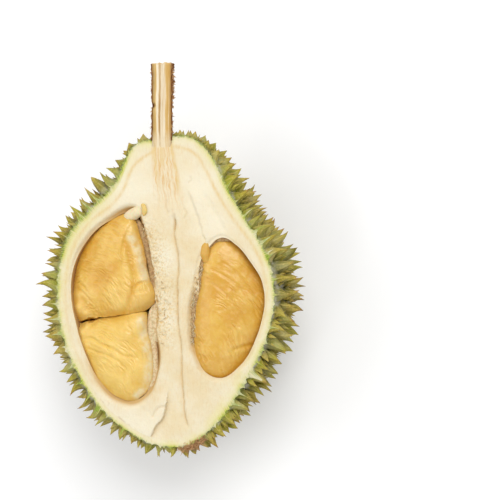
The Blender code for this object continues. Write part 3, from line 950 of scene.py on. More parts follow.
class Aril:
    """One fleshy pod: its outline, its place in a chamber, and the relief of its upper side."""

    def __init__(self, outline, mouth, crown, belly, wall_side, at_wall, meets, swirl, lobes, folds):
        self.outline = Outline(*outline)
        self.chamber, self.depth = mouth[:2]
        self.crown = crown * MM
        self.belly = belly * MM
        self.wall_side = wall_side  # the sign of x towards the outer wall
        self.at_wall = at_wall * MM  # how much deeper it meets the outer wall
        self.meets = meets  # 1 or -1 where it is pressed against another, which lies below or above it
        self.swirl = np.array(swirl) * MM  # the wrinkles run round this point
        self.lobes = lobes  # swellings: (x, y, spread, height) in mm
        self.folds = folds  # (line, depth, width) in mm

    def wrinkles(self, flat):
        """Fine skin folds that run round one point, in patches."""
        angle, reach = polar(flat - self.swirl)
        bent = reach + 2.2 * MM * bumps(flat, 12 * MM, 2, 43)
        spots = np.column_stack([bent / (2.2 * MM), angle * 3.2])
        ridges = 1 - np.abs(bumps(spots, 1.0, 2, 44)) * 2.6
        patches = smoothstep(bumps(flat, 15 * MM, 1, 45), -0.35, 0.35)
        return np.clip(ridges, -0.3, 1) * patches

    def relief(self, flat):
        height = 0.9 * MM * bumps(flat, 17 * MM, 2, 41) + 0.12 * MM * bumps(flat, 3 * MM, 2, 42)
        height += 0.55 * MM * self.wrinkles(flat) + MM * in_spots(flat, self.lobes)
        for line, depth, width in self.folds:
            distance, along, _ = from_line(flat, line)
            ends = np.sin(np.clip(along, 0.02, 0.98) * math.pi) ** 0.6
            beside = hump(distance - 2 * width * MM, 1.6 * width * MM)
            height += depth * MM * ends * (0.5 * beside - hump(distance, width * MM))
        return height

    def placed(self, flat, rise, share):
        sunk = ARIL_SUNK + self.at_wall * smoothstep(self.wall_side * flat[:, 0], 30 * MM, 88 * MM)
        if rise > 0:
            dome = (1 - share**2.3) ** 0.72
            z = self.crown * dome - sunk + self.relief(flat) * smoothstep(dome, 0, 0.35)
        else:
            z = rise * self.belly - sunk
        if not self.meets:
            return kept_inside(np.column_stack([flat, z]), self.chamber, self.depth)
        near = hump(np.maximum(0, self.meets * (flat[:, 1] - self.meeting(flat))), 3.4 * MM)
        z = z - (1.6 if self.meets > 0 else 3.2) * MM * near
        spots = kept_inside(np.column_stack([flat, z]), self.chamber, self.depth)
        line = self.meeting(spots)
        spots[:, 1] = np.where(self.meets * (spots[:, 1] - line) < 0, line, spots[:, 1])
        return spots

    def meeting(self, spots):
        """How far up the picture the wavy line lies where the left pods press together."""
        x = spots[:, 0]
        wavy = 0.9 * MM * bumps(x[:, None], 11 * MM, 2, 49)
        wavy += 2.2 * MM * bumps(x[:, None], 5 * MM, 2, 46 + self.meets) * smoothstep(-x, 52 * MM, 64 * MM)
        gape = smoothstep(spots[:, 2], -14 * MM, -8 * MM) if spots.shape[1] > 2 else 1
        apart = ARIL_CLEARANCE / 2 + 2.4 * MM * hump(x + 68 * MM, 5 * MM) * gape
        return ARILS_MEET_Y + ARILS_MEET_SLOPE * x + self.meets * apart + wavy

    def mesh(self, name):
        angles = np.linspace(0, TURN, ARIL_SIDES, endpoint=False)
        rim = self.outline.points(angles)
        uneven = 0.9 * MM * bumps(rim, 7 * MM, 2, 47) / self.outline.radius(angles)
        levels = []
        for step in range(1, ARIL_TOP_LEVELS + 1):
            levels.append((math.sin(step / ARIL_TOP_LEVELS * math.pi / 2) ** 0.85, 1.0))
        for step in range(1, ARIL_BELLY_LEVELS):
            down = step / ARIL_BELLY_LEVELS * math.pi / 2
            levels.append((math.cos(down) ** (2 / ARIL_FULLNESS), -math.sin(down) ** (2 / ARIL_FULLNESS)))
        builder = Builder("edge", "film", "relief_light_and_shade", "reach", "turn")
        rows = []
        for share, rise in levels:
            flat = self.outline.points(angles, share * (1 + uneven * share**3))
            turn, reach = polar(flat - self.swirl)
            values = {"reach": reach, "turn": turn}
            if rise > 0:
                values["film"] = sum(hump(from_line(flat, line)[0], 3.6 * MM) for line in FILMS)
                # the relief's height, for painted light on raised folds and painted shade in hollows
                values["relief_light_and_shade"] = self.relief(flat) / (2.6 * MM)
            # edge: painted shade round the pod's rim, strongest towards the outer wall
            outer = smoothstep(self.wall_side * flat[:, 0], 45 * MM, 80 * MM)
            values["edge"] = share**9 * (0.6 + 0.4 * outer)
            rows.append(builder.add_points(self.placed(flat, rise, share), **values))
        middle = self.outline.centre[None]
        top, bottom = (builder.add_point(self.placed(middle, rise, 0)) for rise in (1.0, -1.0))
        builder.skin(rows, top, bottom)
        return builder.mesh(name)


FILMS = (  # whitish skin left on the edges of the left pods
    smooth_line(((-30, 46), (-26, 38), (-22, 29), (-20, 19), (-17, 10))),
    smooth_line(((-22, -24), (-18, -42), (-15, -58), (-16, -78), (-25, -90))),
)
UPPER_FOLDS = (
    (smooth_line(((-34, 46), (-32, 34), (-29, 22), (-26, 6), (-30, -8), (-37, -21))), 1.2, 2.4),
    (smooth_line(((-27, 60), (-33, 50), (-37, 34), (-38, 16))), 0.5, 1.3),
    (smooth_line(((-26, 4), (-21, 7), (-15, 8))), 1.3, 1.1),
    (smooth_line(((-27, -2), (-20, 0), (-13, 0))), 0.6, 1.0),
    (smooth_line(((-82, 8), (-74, 4), (-68, -4))), 0.5, 1.1),
    (smooth_line(((-80, 2), (-72, -3), (-66, -10))), 0.5, 1.0),
)
LOWER_FOLDS = (
    (smooth_line(((-74, -42), (-66, -41), (-58, -45), (-46, -49), (-36, -55), (-24, -57))), 0.9, 1.3),
    (smooth_line(((-72, -50), (-60, -53), (-46, -57), (-36, -63))), 0.55, 1.2),
    (smooth_line(((-34, -22), (-30, -32), (-24, -42))), 0.5, 1.2),
)
RIGHT_FOLDS = (
    (smooth_line(((38, 20), (50, 14), (63, 5), (74, -9), (79, -24))), 0.6, 1.2),
    (smooth_line(((36, 8), (46, 4), (56, -5), (66, -18), (71, -32))), 0.5, 1.1),
    (smooth_line(((48, 26), (60, 18), (71, 6), (80, -8))), 0.4, 1.0),
    (smooth_line(((81, -34), (76, -44), (66, -47), (59, -50), (57, -58))), 0.7, 1.8),
)

# ---------------------------------------------------------------- stalk

WOOD_LEVELS = 130
BARK_LEVELS = 150
FLARE = (0.84, 1)  # the part of the stalk's length over which its free end widens
NOTCH_WIDTH = 2.2 * MM


def stalk_ring(reach, angles, y):
    """Points round the stalk's middle at one place along it."""
    x, z = STALK_X + reach * np.cos(angles), reach * np.sin(angles)
    return np.column_stack([x, np.full(len(angles), y), z])


def stalk_wood():
    """The stalk's woody half inside its bark, grained along, frayed at the free end."""
    builder = Builder("across", "along")
    across = np.linspace(-1, 1, 61)
    below = np.linspace(0, math.pi, 30)[1:-1]
    radius = STALK_RADIUS - 0.5 * MM
    length = STALK_END_Y - STALK_ROOT_Y
    rows = []
    for along in np.linspace(0, 1, WOOD_LEVELS):
        y = STALK_ROOT_Y + length * along
        reach = radius * (1 + 0.04 * smoothstep(along, *FLARE))
        grain = bumps(np.column_stack([across * 9, np.full(len(across), along * 5)]), 1.0, 3, 51)
        notch = hump(y - NOTCH_Y, NOTCH_WIDTH)
        z = 0.35 * MM * grain - 0.25 * MM
        z -= 0.7 * MM * hump(across + 0.17 + 0.05 * math.sin(along * 5), 0.04)
        z -= 1.5 * MM * notch * smoothstep(-across, 0.6, 1)
        arched = along + 0.04 * grain + 0.09 * (1 - across**2)
        z -= UNDER_STALK_DEPTH * (1 - smoothstep(arched, 0.05, 0.12))
        top = np.column_stack([STALK_X + reach * across, np.full(len(across), y), z])
        ring = np.concatenate([top, stalk_ring(reach, -below, y)])
        if along == 1:
            ring[:, 1] += MM * bumps(ring[:, [0, 2]], 1.6 * MM, 2, 52)
        ring[:, 0] += 1.6 * MM * notch * smoothstep(STALK_X - ring[:, 0], 0.5 * radius, radius)
        rows.append(builder.add_points(ring, across=np.concatenate([across, np.cos(below)]), along=along))
    start, end = (
        builder.add_point(np.array([STALK_X, STALK_ROOT_Y + length * along, -0.4 * radius]), along=along)
        for along in (0, 1)
    )
    builder.skin(rows, start, end)
    return builder.mesh("stalk_wood", sharp=50)


def stalk_bark():
    """Rough bark round the stalk's back, with its two ragged edges at the cut."""
    builder = Builder("outside", "along")
    around = np.linspace(math.pi - 0.03, TURN + 0.03, 70)
    back = around[::-1]
    inner = STALK_RADIUS - 0.9 * MM
    rows = []
    for along in np.linspace(0, 1, BARK_LEVELS):
        y = STALK_ROOT_Y + 11 * MM + (STALK_END_Y - STALK_ROOT_Y - 11.6 * MM) * along
        flare = 0.5 * MM * smoothstep(along, *FLARE)
        spots = np.column_stack([np.cos(around), np.full(len(around), y / (9 * MM)), np.sin(around)])
        rough = bumps(spots, 0.35, 3, 61) + 0.8 * bumps(spots, 0.12, 2, 62)
        right = smoothstep(np.cos(around), 0.2, 1) * smoothstep(along, 0.5, 0.65)
        outer = inner + 1.0 * MM + 0.45 * MM * rough * (1 + 3 * right) + 0.2 * MM * right + flare
        outer -= 1.7 * MM * hump(y - NOTCH_Y, NOTCH_WIDTH) * smoothstep(-np.cos(around), 0.3, 0.9)
        outer = np.maximum(outer, inner + 0.25 * MM - 1.2 * MM * (outer < inner - 0.4 * MM))
        ring = np.concatenate([stalk_ring(outer, around, y), stalk_ring(inner + flare, back, y)])
        rows.append(builder.add_points(ring, outside=np.repeat([1.0, 0.0], len(around)), along=along))
    builder.skin(rows)
    for row in (rows[0], rows[-1]):
        builder.bridge(row[:len(around)], row[len(around):][::-1], closed=False)
    return builder.mesh("stalk_bark", sharp=60)


# ---------------------------------------------------------------- small pieces


def blade(builder, root, direction, side, length, width, curl, own):
    """A thin closed sliver that tapers to its tip."""
    up = np.cross(direction, side)
    rows = []
    for t, share in ((0, 1), (0.35, 0.85), (0.7, 0.5)):
        middle = root + direction * length * t + up * curl * length * t**2
        across, through = side * 0.5 * width * share, up * 0.25 * width * share
        ring = [middle + across, middle + through, middle - across, middle - through]
        rows.append(builder.add_points(np.array(ring), tip=t, own=own))
    end = builder.add_point(root + direction * length + up * curl * length, tip=1.0, own=own)
    builder.skin(rows, end=end)
    builder.add_faces([tuple(rows[0][::-1])])


def on_line(line, place):
    """The spot at a place along a line, counted in its spans, and the line's run there."""
    i = int(place)
    run = line[i + 1] - line[i]
    return line[i] + run * (place - i), run


def rim_fringe():
    """Fine torn hairs of green skin along the rim, and brown ones over the scar at the fruit's tip."""
    draw = np.random.default_rng(71)
    builder = Builder("tip", "own")
    for angle in draw.uniform(-math.pi, math.pi, RIM_HAIRS):
        spot, ahead = RIM.points(np.array([angle, angle + 0.01]))
        if abs(spot[0] - STALK_X) < STALK_RADIUS + 2 * MM and spot[1] > 0:
            continue
        if -1.7 < angle < 0.2 and draw.uniform() < 0.55:
            continue
        out = unit(np.array([ahead[1] - spot[1], spot[0] - ahead[0], 0]))
        direction = unit(out + np.array([*draw.normal(0, 0.4, 2), draw.uniform(-0.3, 0.12)]))
        side = unit(np.cross(direction, (0, 0, 1)))
        length = draw.uniform(0.6, 2.6) * MM * (1 + 0.8 * hump(math.degrees(angle) - 140, 40)) + HAIR_ROOT
        root = np.array([*spot, draw.uniform(-0.9, 0.05) * MM]) - out * HAIR_ROOT
        blade(builder, root, direction, side, length, draw.uniform(0.3, 0.65) * MM, draw.normal(0, 0.15),
              draw.uniform())
    for _ in range(SCAR_HAIRS):
        spot, _ = on_line(SCAR, draw.uniform() * (len(SCAR) - 1.001))
        direction = unit(np.array([0.8, 0.42, 0]) * draw.choice([-1, 1]) + draw.normal(0, 0.25, 3))
        side = unit(np.cross(direction, (0.1, -0.5, 1)))
        root = np.array([*spot, -0.5 * MM]) + np.array([0.45, -0.9, -0.5]) * draw.uniform(0, 5) * MM
        root += draw.normal(0, 0.5 * MM, 3)
        blade(builder, root, direction, side, draw.uniform(2, 6) * MM, draw.uniform(0.3, 0.8) * MM,
              draw.normal(0, 0.3), draw.uniform(*SCAR_SHADES))
    return builder.mesh("rim_fringe")


RIM_HAIRS = 3000
HAIR_ROOT = 1.2 * MM  # how far in from the rim a hair starts
SCAR = smooth_line(((12, -131.5), (22, -128.5), (33, -122)))
SCAR_HAIRS = 420
SCAR_SHADES = (2, 3)  # hair_material makes what is past 1.2 brown


SPLINTERS = (  # (side of the stalk, from and to in mm, how many, the longest in mm)
    (1, 163, 191, 110, 3.8), (1, 128, 163, 34, 2.2), (-1, 128, 191, 36, 2.0),
)


def bark_splinters():
    """Bits of bark that stand off the stalk's edges, most near the free end on the right."""
    draw = np.random.default_rng(95)
    builder = Builder("tip", "own")
    for side, low, high, count, longest in SPLINTERS:
        for _ in range(count):
            y, z = draw.uniform(low, high) * MM, -draw.uniform(0, 4) * MM
            root = np.array([STALK_X + side * (STALK_RADIUS + 0.2 * MM + 0.2 * z), y, z])
            out = [side * draw.uniform(0.5, 1), draw.normal(0, 0.7), draw.uniform(-0.3, 0.4)]
            direction = unit(np.array(out))
            across = unit(np.cross(direction, (0, 0, 1)))
            blade(builder, root, direction, across, draw.uniform(0.7, longest) * MM,
                  draw.uniform(0.5, 1.2) * MM, draw.normal(0, 0.5), draw.uniform(2, 2.8))
    return builder.mesh("bark_splinters")


SHREDS = (  # (line, how many, offset beyond the line in mm, depth, longest, widest in mm)
    (LEFT_CREVICE, 110, (4, 11), 0.6, 4.5, 1.0),
    (RIGHT_SHREDS, 260, (-2, 4.5), 1.6, 6.0, 0.8),
)


CREVICE_TISSUE_AND_SHADE = (  # tissue at the bottom of the gaps between the pods and the core, in mm, and its tone; its brown is partly painted shade
    (((-27, 62, -6.5), (-19.5, 44, -7), (-15, 27, -7), (-11, 8, -6.5), (-8, -6, -6.5)), 1.4),
    (((-12, -12, -6.5), (-15, -30, -7), (-11, -54, -7), (-11.5, -78, -7), (-21, -92, -7.5)), 2.0),
    (((-9, -9, -7), (-11, -22, -6.5), (-10, -34, -6.5), (-9, -44, -7)), 2.0),
    (((34, 36, -5), (30, 16, -5), (26.5, -4, -5), (24, -22, -5), (24, -45, -5)), 1.4),
    (((33, 33, -5), (37, 40, -5), (43, 44, -5), (50, 46, -5), (57, 44, -5)), 1.4),
)
SEED_STALKS = (  # (points and radii in mm, height against width, shade)
    (((-38, 60, -6), (-32, 64, -3), (-26, 67, -2), (-20, 69, -2)), (3.5, 4.8, 5.2, 4.8), 0.75, 0.0),
    (((-21, 73.5, 0.2), (-18.6, 72.5, 0.8), (-17.6, 68.5, 1), (-18.8, 64, 0)), (1.4, 2, 2.3, 1.5), 0.7, 0.6),
    (((37, 43, -2.5), (35, 38, -1.2), (34.5, 31, -1.2), (36.5, 22, -3)), (1.6, 3.4, 4.2, 2.4), 0.8, 1.0),
)
STRAND_LEVELS = 26
STRAND_SIDES = 22


def core_shreds():
    """Torn fibres of the core beside the chambers, and the tissue in the gaps, its brown partly painted
    shade.
    """
    draw = np.random.default_rng(81)
    builder = Builder("tip", "own")
    for line, count, (near, far), depth, longest, widest in SHREDS:
        for _ in range(count):
            flat, run = on_line(line, draw.uniform(0.08, 0.97) * (len(line) - 1))
            along = unit(np.array([*run, 0]))
            away = np.array([-along[1], along[0]])
            spot = flat + away * (near + (far - near) * draw.uniform() ** 2) * MM
            height = max(face_height(spot[None])[0], -2 * MM) - draw.uniform(0, depth) * MM
            direction = unit(along * draw.choice([-1, 1]) + draw.normal(0, 0.5, 3) + np.array([0, 0, 0.2]))
            side = unit(np.cross(direction, (0.1, 0.2, 1)))
            blade(builder, np.array([*spot, height]), direction, side, draw.uniform(1.5, longest) * MM,
                  draw.uniform(0.3, widest) * MM, draw.normal(0, 0.3), draw.uniform())
    for points, shade in CREVICE_TISSUE_AND_SHADE:
        strand(builder, points, (2.8, 3.8, 3.2, 3.8, 2.8), 0.8, shade)
    return builder.mesh("core_shreds")


def strand(builder, points, radii, flatness, own):
    """A soft closed tube along points given in mm."""
    line = np.array(points, float)
    t = np.linspace(0, len(line) - 1, STRAND_LEVELS)
    spine = np.empty((STRAND_LEVELS, 3))
    for axis in range(3):
        straight = np.interp(t, np.arange(len(line)), line[:, axis])
        padded = np.pad(straight, 3, mode="reflect", reflect_type="odd")
        spine[:, axis] = np.convolve(padded, np.ones(7) / 7, "valid") * MM
    radius = np.interp(t, np.arange(len(radii)), radii) * MM
    radius = radius * np.clip(np.minimum(t, t[-1] - t) * 2.2 + 0.15, 0, 1) ** 0.5
    around = np.linspace(0, TURN, STRAND_SIDES, endpoint=False)
    last = STRAND_LEVELS - 1
    rows = []
    for i, (middle, reach) in enumerate(zip(spine, radius)):
        ahead = unit(spine[min(i + 1, last)] - spine[max(i - 1, 0)])
        side = unit(np.cross(ahead, (0, 0, 1)))
        up = np.cross(side, ahead)
        ring = middle + reach * (np.outer(np.cos(around), side) + flatness * np.outer(np.sin(around), up))
        ring += (ring - middle) * 0.14 * bumps(ring, 5 * MM, 2, 91)[:, None]
        rows.append(builder.add_points(ring, tip=i / last, own=own))
    builder.skin(rows, builder.add_point(spine[0], own=own), builder.add_point(spine[-1], tip=1.0, own=own))


def seed_stalks():
    """The soft strands that held the pods, where they leave the core."""
    builder = Builder("tip", "own")
    for points, radii, flatness, shade in SEED_STALKS:
        strand(builder, points, radii, flatness, shade)
    return builder.mesh("seed_stalks")


# ---------------------------------------------------------------- materials


class Shader:
    """A Principled material, its colour so far, and short calls for its nodes. Sizes are in mm."""

    def __init__(self, name, radius=None, **sockets):
        self.material = bpy.data.materials.new(name)
        self.material.use_nodes = True
        self.tree = self.material.node_tree
        self.surface = self.tree.nodes["Principled BSDF"]
        for socket, value in sockets.items():
            self.surface.inputs[socket.replace("_", " ")].default_value = value
        if radius:
            self.surface.inputs["Subsurface Radius"].default_value = radius
        self.place = self.node("ShaderNodeTexCoord").outputs["Object"]
        self.colour = None

    def node(self, kind, settings=(), **inputs):
        made = self.tree.nodes.new(kind)
        for key, value in dict(settings).items():
            setattr(made, key, value)
        for key, value in inputs.items():
            self.feed(made.inputs[key.replace("_", " ")], value)
        return made

    def feed(self, socket, value):
        if isinstance(value, bpy.types.NodeSocket):
            self.tree.links.new(value, socket)
        elif isinstance(value, tuple) and socket.type == "RGBA":
            socket.default_value = (*value[:3], 1)
        else:
            socket.default_value = value

    def value(self, name):
        return self.node("ShaderNodeAttribute", {"attribute_name": name}).outputs["Fac"]

    def combined(self, kind, operation, *values):
        made = self.node(kind, {"operation": operation})
        for socket, value in zip(made.inputs, values):
            self.feed(socket, value)
        return made

    def plus(self, a, b):
        return self.combined("ShaderNodeMath", "ADD", a, b).outputs[0]

    def times(self, a, b):
        return self.combined("ShaderNodeMath", "MULTIPLY", a, b).outputs[0]

    def stretched(self, vector, scale):
        return self.combined("ShaderNodeVectorMath", "MULTIPLY", vector, scale).outputs[0]

    def noise(self, size, detail=3.0, roughness=0.55, stretch=None, at=None):
        """Noise round 0.5 with features of the given size."""
        at = at or self.place
        if stretch:
            at = self.stretched(at, stretch)
        inputs = {"Vector": at, "Scale": 1 / (size * MM), "Detail": detail, "Roughness": roughness}
        return self.node("ShaderNodeTexNoise", **inputs).outputs["Fac"]

    def range(self, value, low, high, to_low=0.0, to_high=1.0):
        made = self.node(
            "ShaderNodeMapRange", Value=value, From_Min=low, From_Max=high, To_Min=to_low, To_Max=to_high
        )
        return made.outputs["Result"]

    def ramp(self, value, *stops):
        """A colour for each value: stops are (position, colour)."""
        made = self.node("ShaderNodeValToRGB", Fac=value)
        elements = made.color_ramp.elements
        while len(elements) < len(stops):
            elements.new(0.5)
        for element, (position, colour) in zip(elements, stops):
            element.position = position
            element.color = (*colour, 1)
        return made.outputs["Color"]

    def mix(self, share, a, b):
        made = self.node("ShaderNodeMix", {"data_type": "RGBA", "clamp_factor": True})
        for number, value in ((0, share), (6, a), (7, b)):
            self.feed(made.inputs[number], value)
        return made.outputs[2]

    def over(self, share, colour):
        """Lays a colour over the colour so far."""
        self.colour = self.mix(share, self.colour, colour)

    def bump(self, height, strength, distance, normal=None):
        made = self.node("ShaderNodeBump", Height=height, Strength=strength, Distance=distance * MM)
        if normal is not None:
            self.feed(made.inputs["Normal"], normal)
        return made.outputs["Normal"]

    def finish(self, normal, roughness=None):
        self.feed(self.surface.inputs["Base Color"], self.colour)
        self.feed(self.surface.inputs["Normal"], normal)
        if roughness is not None:
            self.feed(self.surface.inputs["Roughness"], roughness)
        return self.material


SCAR_MIDDLE = (23 * MM, -129 * MM, -4 * MM)


SPINE_COLOURS_AND_VALLEY_SHADE = (  # up a spine; the two lowest stops are painted shade in the valleys
    (0.0, (0.030, 0.034, 0.005)),
    (0.13, (0.12, 0.115, 0.009)),
    (0.5, (0.33, 0.27, 0.022)),
    (0.76, (0.48, 0.34, 0.045)),
    (0.88, (0.36, 0.15, 0.035)),
    (1.0, (0.13, 0.035, 0.014)),
)


def rind_material():
    """Olive spines with tan ridges and red-brown points, painted shade in the valleys, and a brown scar at
    the tip.
    """
    s = Shader("rind", Roughness=0.5, Specular_IOR_Level=0.28)
    height, own = s.value("height"), s.value("own")
    mottle = s.noise(3, 4)
    # dark low on a spine: painted shade in the valleys between the spines
    s.colour = s.ramp(s.plus(height, s.range(mottle, 0.3, 0.7, -0.08, 0.08)), *SPINE_COLOURS_AND_VALLEY_SHADE)
    fresh = s.mix(0.7, s.colour, (0.36, 0.37, 0.022))
    s.over(s.range(s.noise(40, 2), 0.45, 0.6), fresh)
    s.over(s.range(own, 0.6, 1.0, 0, 0.6), (0.46, 0.35, 0.06))
    s.over(s.range(own, 0.3, 0.0, 0, 0.5), (0.10, 0.11, 0.012))
    ridge = s.combined("ShaderNodeMath", "POWER", s.value("ridge"), 1.9).outputs[0]
    s.over(s.times(s.times(ridge, s.range(height, 0.05, 0.4)), 0.7), (0.64, 0.47, 0.13))
    fine = s.noise(1.6, 4, 0.7)
    s.over(s.range(fine, 0.52, 0.7, 0, 0.6), (0.11, 0.08, 0.012))
    s.over(s.range(fine, 0.46, 0.3, 0, 0.5), (0.66, 0.54, 0.20))
    scurf = s.times(s.range(height, 0.2, 0.03), s.range(s.noise(14, 3), 0.46, 0.6))
    s.over(s.times(scurf, 0.8), (0.58, 0.55, 0.46))
    dusty = s.times(s.range(s.noise(26, 3), 0.48, 0.62, 0, 0.32), s.range(height, 0.8, 0.5))
    s.over(dusty, (0.54, 0.52, 0.28))
    from_scar = s.combined("ShaderNodeVectorMath", "DISTANCE", s.place, SCAR_MIDDLE).outputs["Value"]
    scarred = s.plus(from_scar, s.range(mottle, 0.3, 0.7, -4 * MM, 4 * MM))
    s.over(s.range(scarred, 12 * MM, 8 * MM, 0, 0.85), (0.34, 0.18, 0.08))
    normal = s.bump(s.noise(2.4, 4, 0.65), 0.5, 0.8)
    normal = s.bump(s.noise(0.8, 4, 0.65), 0.35, 0.3, normal)
    return s.finish(normal, s.range(mottle, 0.3, 0.7, 0.36, 0.6))


FLESH_BY_RIM = (  # by the distance in from the rim, over 20 mm
    (0.0, (0.20, 0.31, 0.02)),
    (0.03, (0.42, 0.47, 0.06)),
    (0.08, (0.66, 0.63, 0.20)),
    (0.19, (0.78, 0.71, 0.39)),
    (0.5, (0.78, 0.68, 0.46)),
    (1.0, (0.78, 0.66, 0.43)),
)
CHAMBER_WALL_SHADE = (  # painted shade, darker the deeper the wall lies
    (0.0, (0.72, 0.54, 0.28)),
    (0.35, (0.58, 0.37, 0.14)),
    (1.0, (0.36, 0.17, 0.05)),
)


def flesh_material():
    """Cream flesh: green rim, tan veins, flecked where torn, brown cracks, painted shade in hollows and by
    the flap.
    """
    s = Shader("flesh", (1, 0.7, 0.4), Roughness=0.78, Subsurface_Weight=0.1, Subsurface_Scale=1.5 * MM,
               Specular_IOR_Level=0.25)
    flat = s.stretched(s.place, (1, 1, 0))
    outward = s.combined("ShaderNodeVectorMath", "NORMALIZE", flat).outputs[0]
    rays = s.noise(0.8, 3, stretch=(0.1, 0.1, 0), at=outward)
    rim = s.value("rim")
    by_rim = s.times(rim, 1 / (20 * MM))
    near = s.range(by_rim, 0.6, 0.1)
    s.colour = s.ramp(s.plus(by_rim, s.times(s.range(rays, 0.3, 0.7, -0.035, 0.05), near)), *FLESH_BY_RIM)
    s.over(s.times(near, s.range(rays, 0.48, 0.68, 0, 0.4)), (0.68, 0.56, 0.30))
    s.over(s.range(s.noise(22, 3), 0.42, 0.62, 0, 0.7), (0.82, 0.74, 0.55))
    fibre = s.noise(1.6, 4, stretch=(1, 0.28, 1))
    s.over(s.range(fibre, 0.5, 0.75, 0, 0.4), (0.72, 0.53, 0.26))
    s.over(s.times(s.value("white"), 0.75), (0.85, 0.79, 0.62))
    s.over(s.times(s.value("warm"), s.range(fibre, 0.3, 0.7, 0.3, 0.75)), (0.70, 0.50, 0.23))
    bent = s.plus(s.value("fan_across"), s.range(s.noise(14, 2), 0.3, 0.7, -0.12, 0.12))
    fanned = s.node("ShaderNodeCombineXYZ", X=s.times(bent, 12 * MM), Y=s.times(rim, 0.12)).outputs[0]
    strands = s.noise(1.9, 4, at=fanned)
    s.over(s.times(s.value("fan"), s.range(strands, 0.44, 0.62, 0.08, 0.9)), (0.72, 0.46, 0.19))
    flecks = s.times(s.range(s.value("torn"), 0, 0.7), s.range(s.noise(1.8, 4, 0.7), 0.5, 0.6))
    s.over(s.times(flecks, 0.75), (0.68, 0.47, 0.19))
    s.over(s.times(s.value("brown"), s.range(fibre, 0.25, 0.6, 0.35, 0.85)), (0.74, 0.55, 0.25))
    # brown in the cracks, and painted shadow beside the flap
    s.over(s.times(s.value("crack_and_shadow"), 0.7), (0.48, 0.31, 0.13))
    # painted shade: walls and hollows turn brown the deeper they lie
    sunk = s.value("deep")
    s.over(s.range(sunk, 0, 0.3, 0, 0.95), s.ramp(sunk, *CHAMBER_WALL_SHADE))
    grain = s.noise(0.8, 5, 0.7)
    s.over(s.range(grain, 0.55, 0.72, 0, 0.3), (0.62, 0.46, 0.22))
    return s.finish(s.bump(grain, 0.4, 0.3, s.bump(s.noise(3, 5, 0.65), 0.6, 0.9)))


def aril_material(name, middle, edge):
    """Ripe creamy yellow, finely wrinkled and a little moist."""
    s = Shader(name, (1, 0.55, 0.15), Roughness=0.36, Subsurface_Weight=0.25, Subsurface_Scale=3 * MM,
               Specular_IOR_Level=0.45, Coat_Weight=0.25, Coat_Roughness=0.16)
    s.colour = s.mix(s.range(s.noise(18, 3), 0.35, 0.65), edge, middle)
    fine = s.noise(4, 4)
    s.over(s.range(fine, 0.5, 0.75, 0, 0.3), (0.88, 0.66, 0.26))
    turn = s.times(s.value("turn"), 7 * MM)
    swirled = s.node("ShaderNodeCombineXYZ", X=s.value("reach"), Y=turn).outputs[0]
    wander = s.node("ShaderNodeTexNoise", Vector=s.place, Scale=90.0).outputs["Color"]
    wander = s.stretched(wander, (7 * MM, 0, 0))
    bent = s.combined("ShaderNodeVectorMath", "ADD", swirled, wander).outputs[0]
    lines = s.noise(1.5, 3, at=bent)
    relief_light_and_shade = s.value("relief_light_and_shade")
    # painted light on the raised relief and painted shade in its hollows
    s.over(s.range(relief_light_and_shade, 0.0, 0.55, 0, 0.55), (0.88, 0.64, 0.21))
    s.over(s.range(relief_light_and_shade, 0.0, -0.5, 0, 0.8), edge)
    # painted shade in the hollows of the fine wrinkles
    s.over(s.range(lines, 0.55, 0.3, 0, 0.15), edge)
    # painted shade round the pods' edges, where the walls shadow them
    s.over(s.times(s.value("edge"), 0.75), (0.50, 0.23, 0.02))
    skinned = s.times(s.range(s.value("film"), 0.1, 0.85), s.range(s.noise(7, 2), 0.32, 0.6, 0.2, 1))
    s.over(s.times(skinned, 0.75), (0.80, 0.70, 0.44))
    shown = s.range(s.noise(11, 2), 0.42, 0.6, 0.15, 1)
    normal = s.bump(lines, s.times(shown, 0.45), 1.0)
    normal = s.bump(s.noise(5, 3, stretch=(1, 1.7, 1)), 0.35, 1.2, normal)
    normal = s.bump(fine, 0.12, 0.6, normal)
    return s.finish(normal, s.plus(s.range(fine, 0.3, 0.7, 0.27, 0.42), s.times(skinned, 0.25)))


def strand_material():
    """Cream, yellow or amber, by the strand."""
    s = Shader("seed_stalks", Roughness=0.5, Subsurface_Weight=0.2, Subsurface_Scale=2 * MM)
    own = s.value("own")
    s.colour = s.ramp(own, (0.0, (0.78, 0.67, 0.43)), (0.6, (0.74, 0.54, 0.17)), (1.0, (0.66, 0.37, 0.06)))
    fine = s.noise(2, 4)
    s.over(s.range(fine, 0.45, 0.7, 0, 0.25), (0.66, 0.45, 0.17))
    return s.finish(s.bump(fine, 0.25, 0.5))


WOOD_STRIPES = (  # from the bark on the left to the bark on the right
    (0.0, (0.14, 0.05, 0.02)),
    (0.07, (0.44, 0.28, 0.08)),
    (0.2, (0.66, 0.45, 0.17)),
    (0.235, (0.86, 0.77, 0.58)),
    (0.33, (0.84, 0.73, 0.52)),
    (0.36, (0.46, 0.27, 0.10)),
    (0.42, (0.58, 0.40, 0.19)),
    (0.46, (0.78, 0.66, 0.46)),
    (0.66, (0.80, 0.69, 0.50)),
    (0.71, (0.66, 0.43, 0.15)),
    (0.86, (0.58, 0.34, 0.09)),
    (1.0, (0.18, 0.07, 0.03)),
)


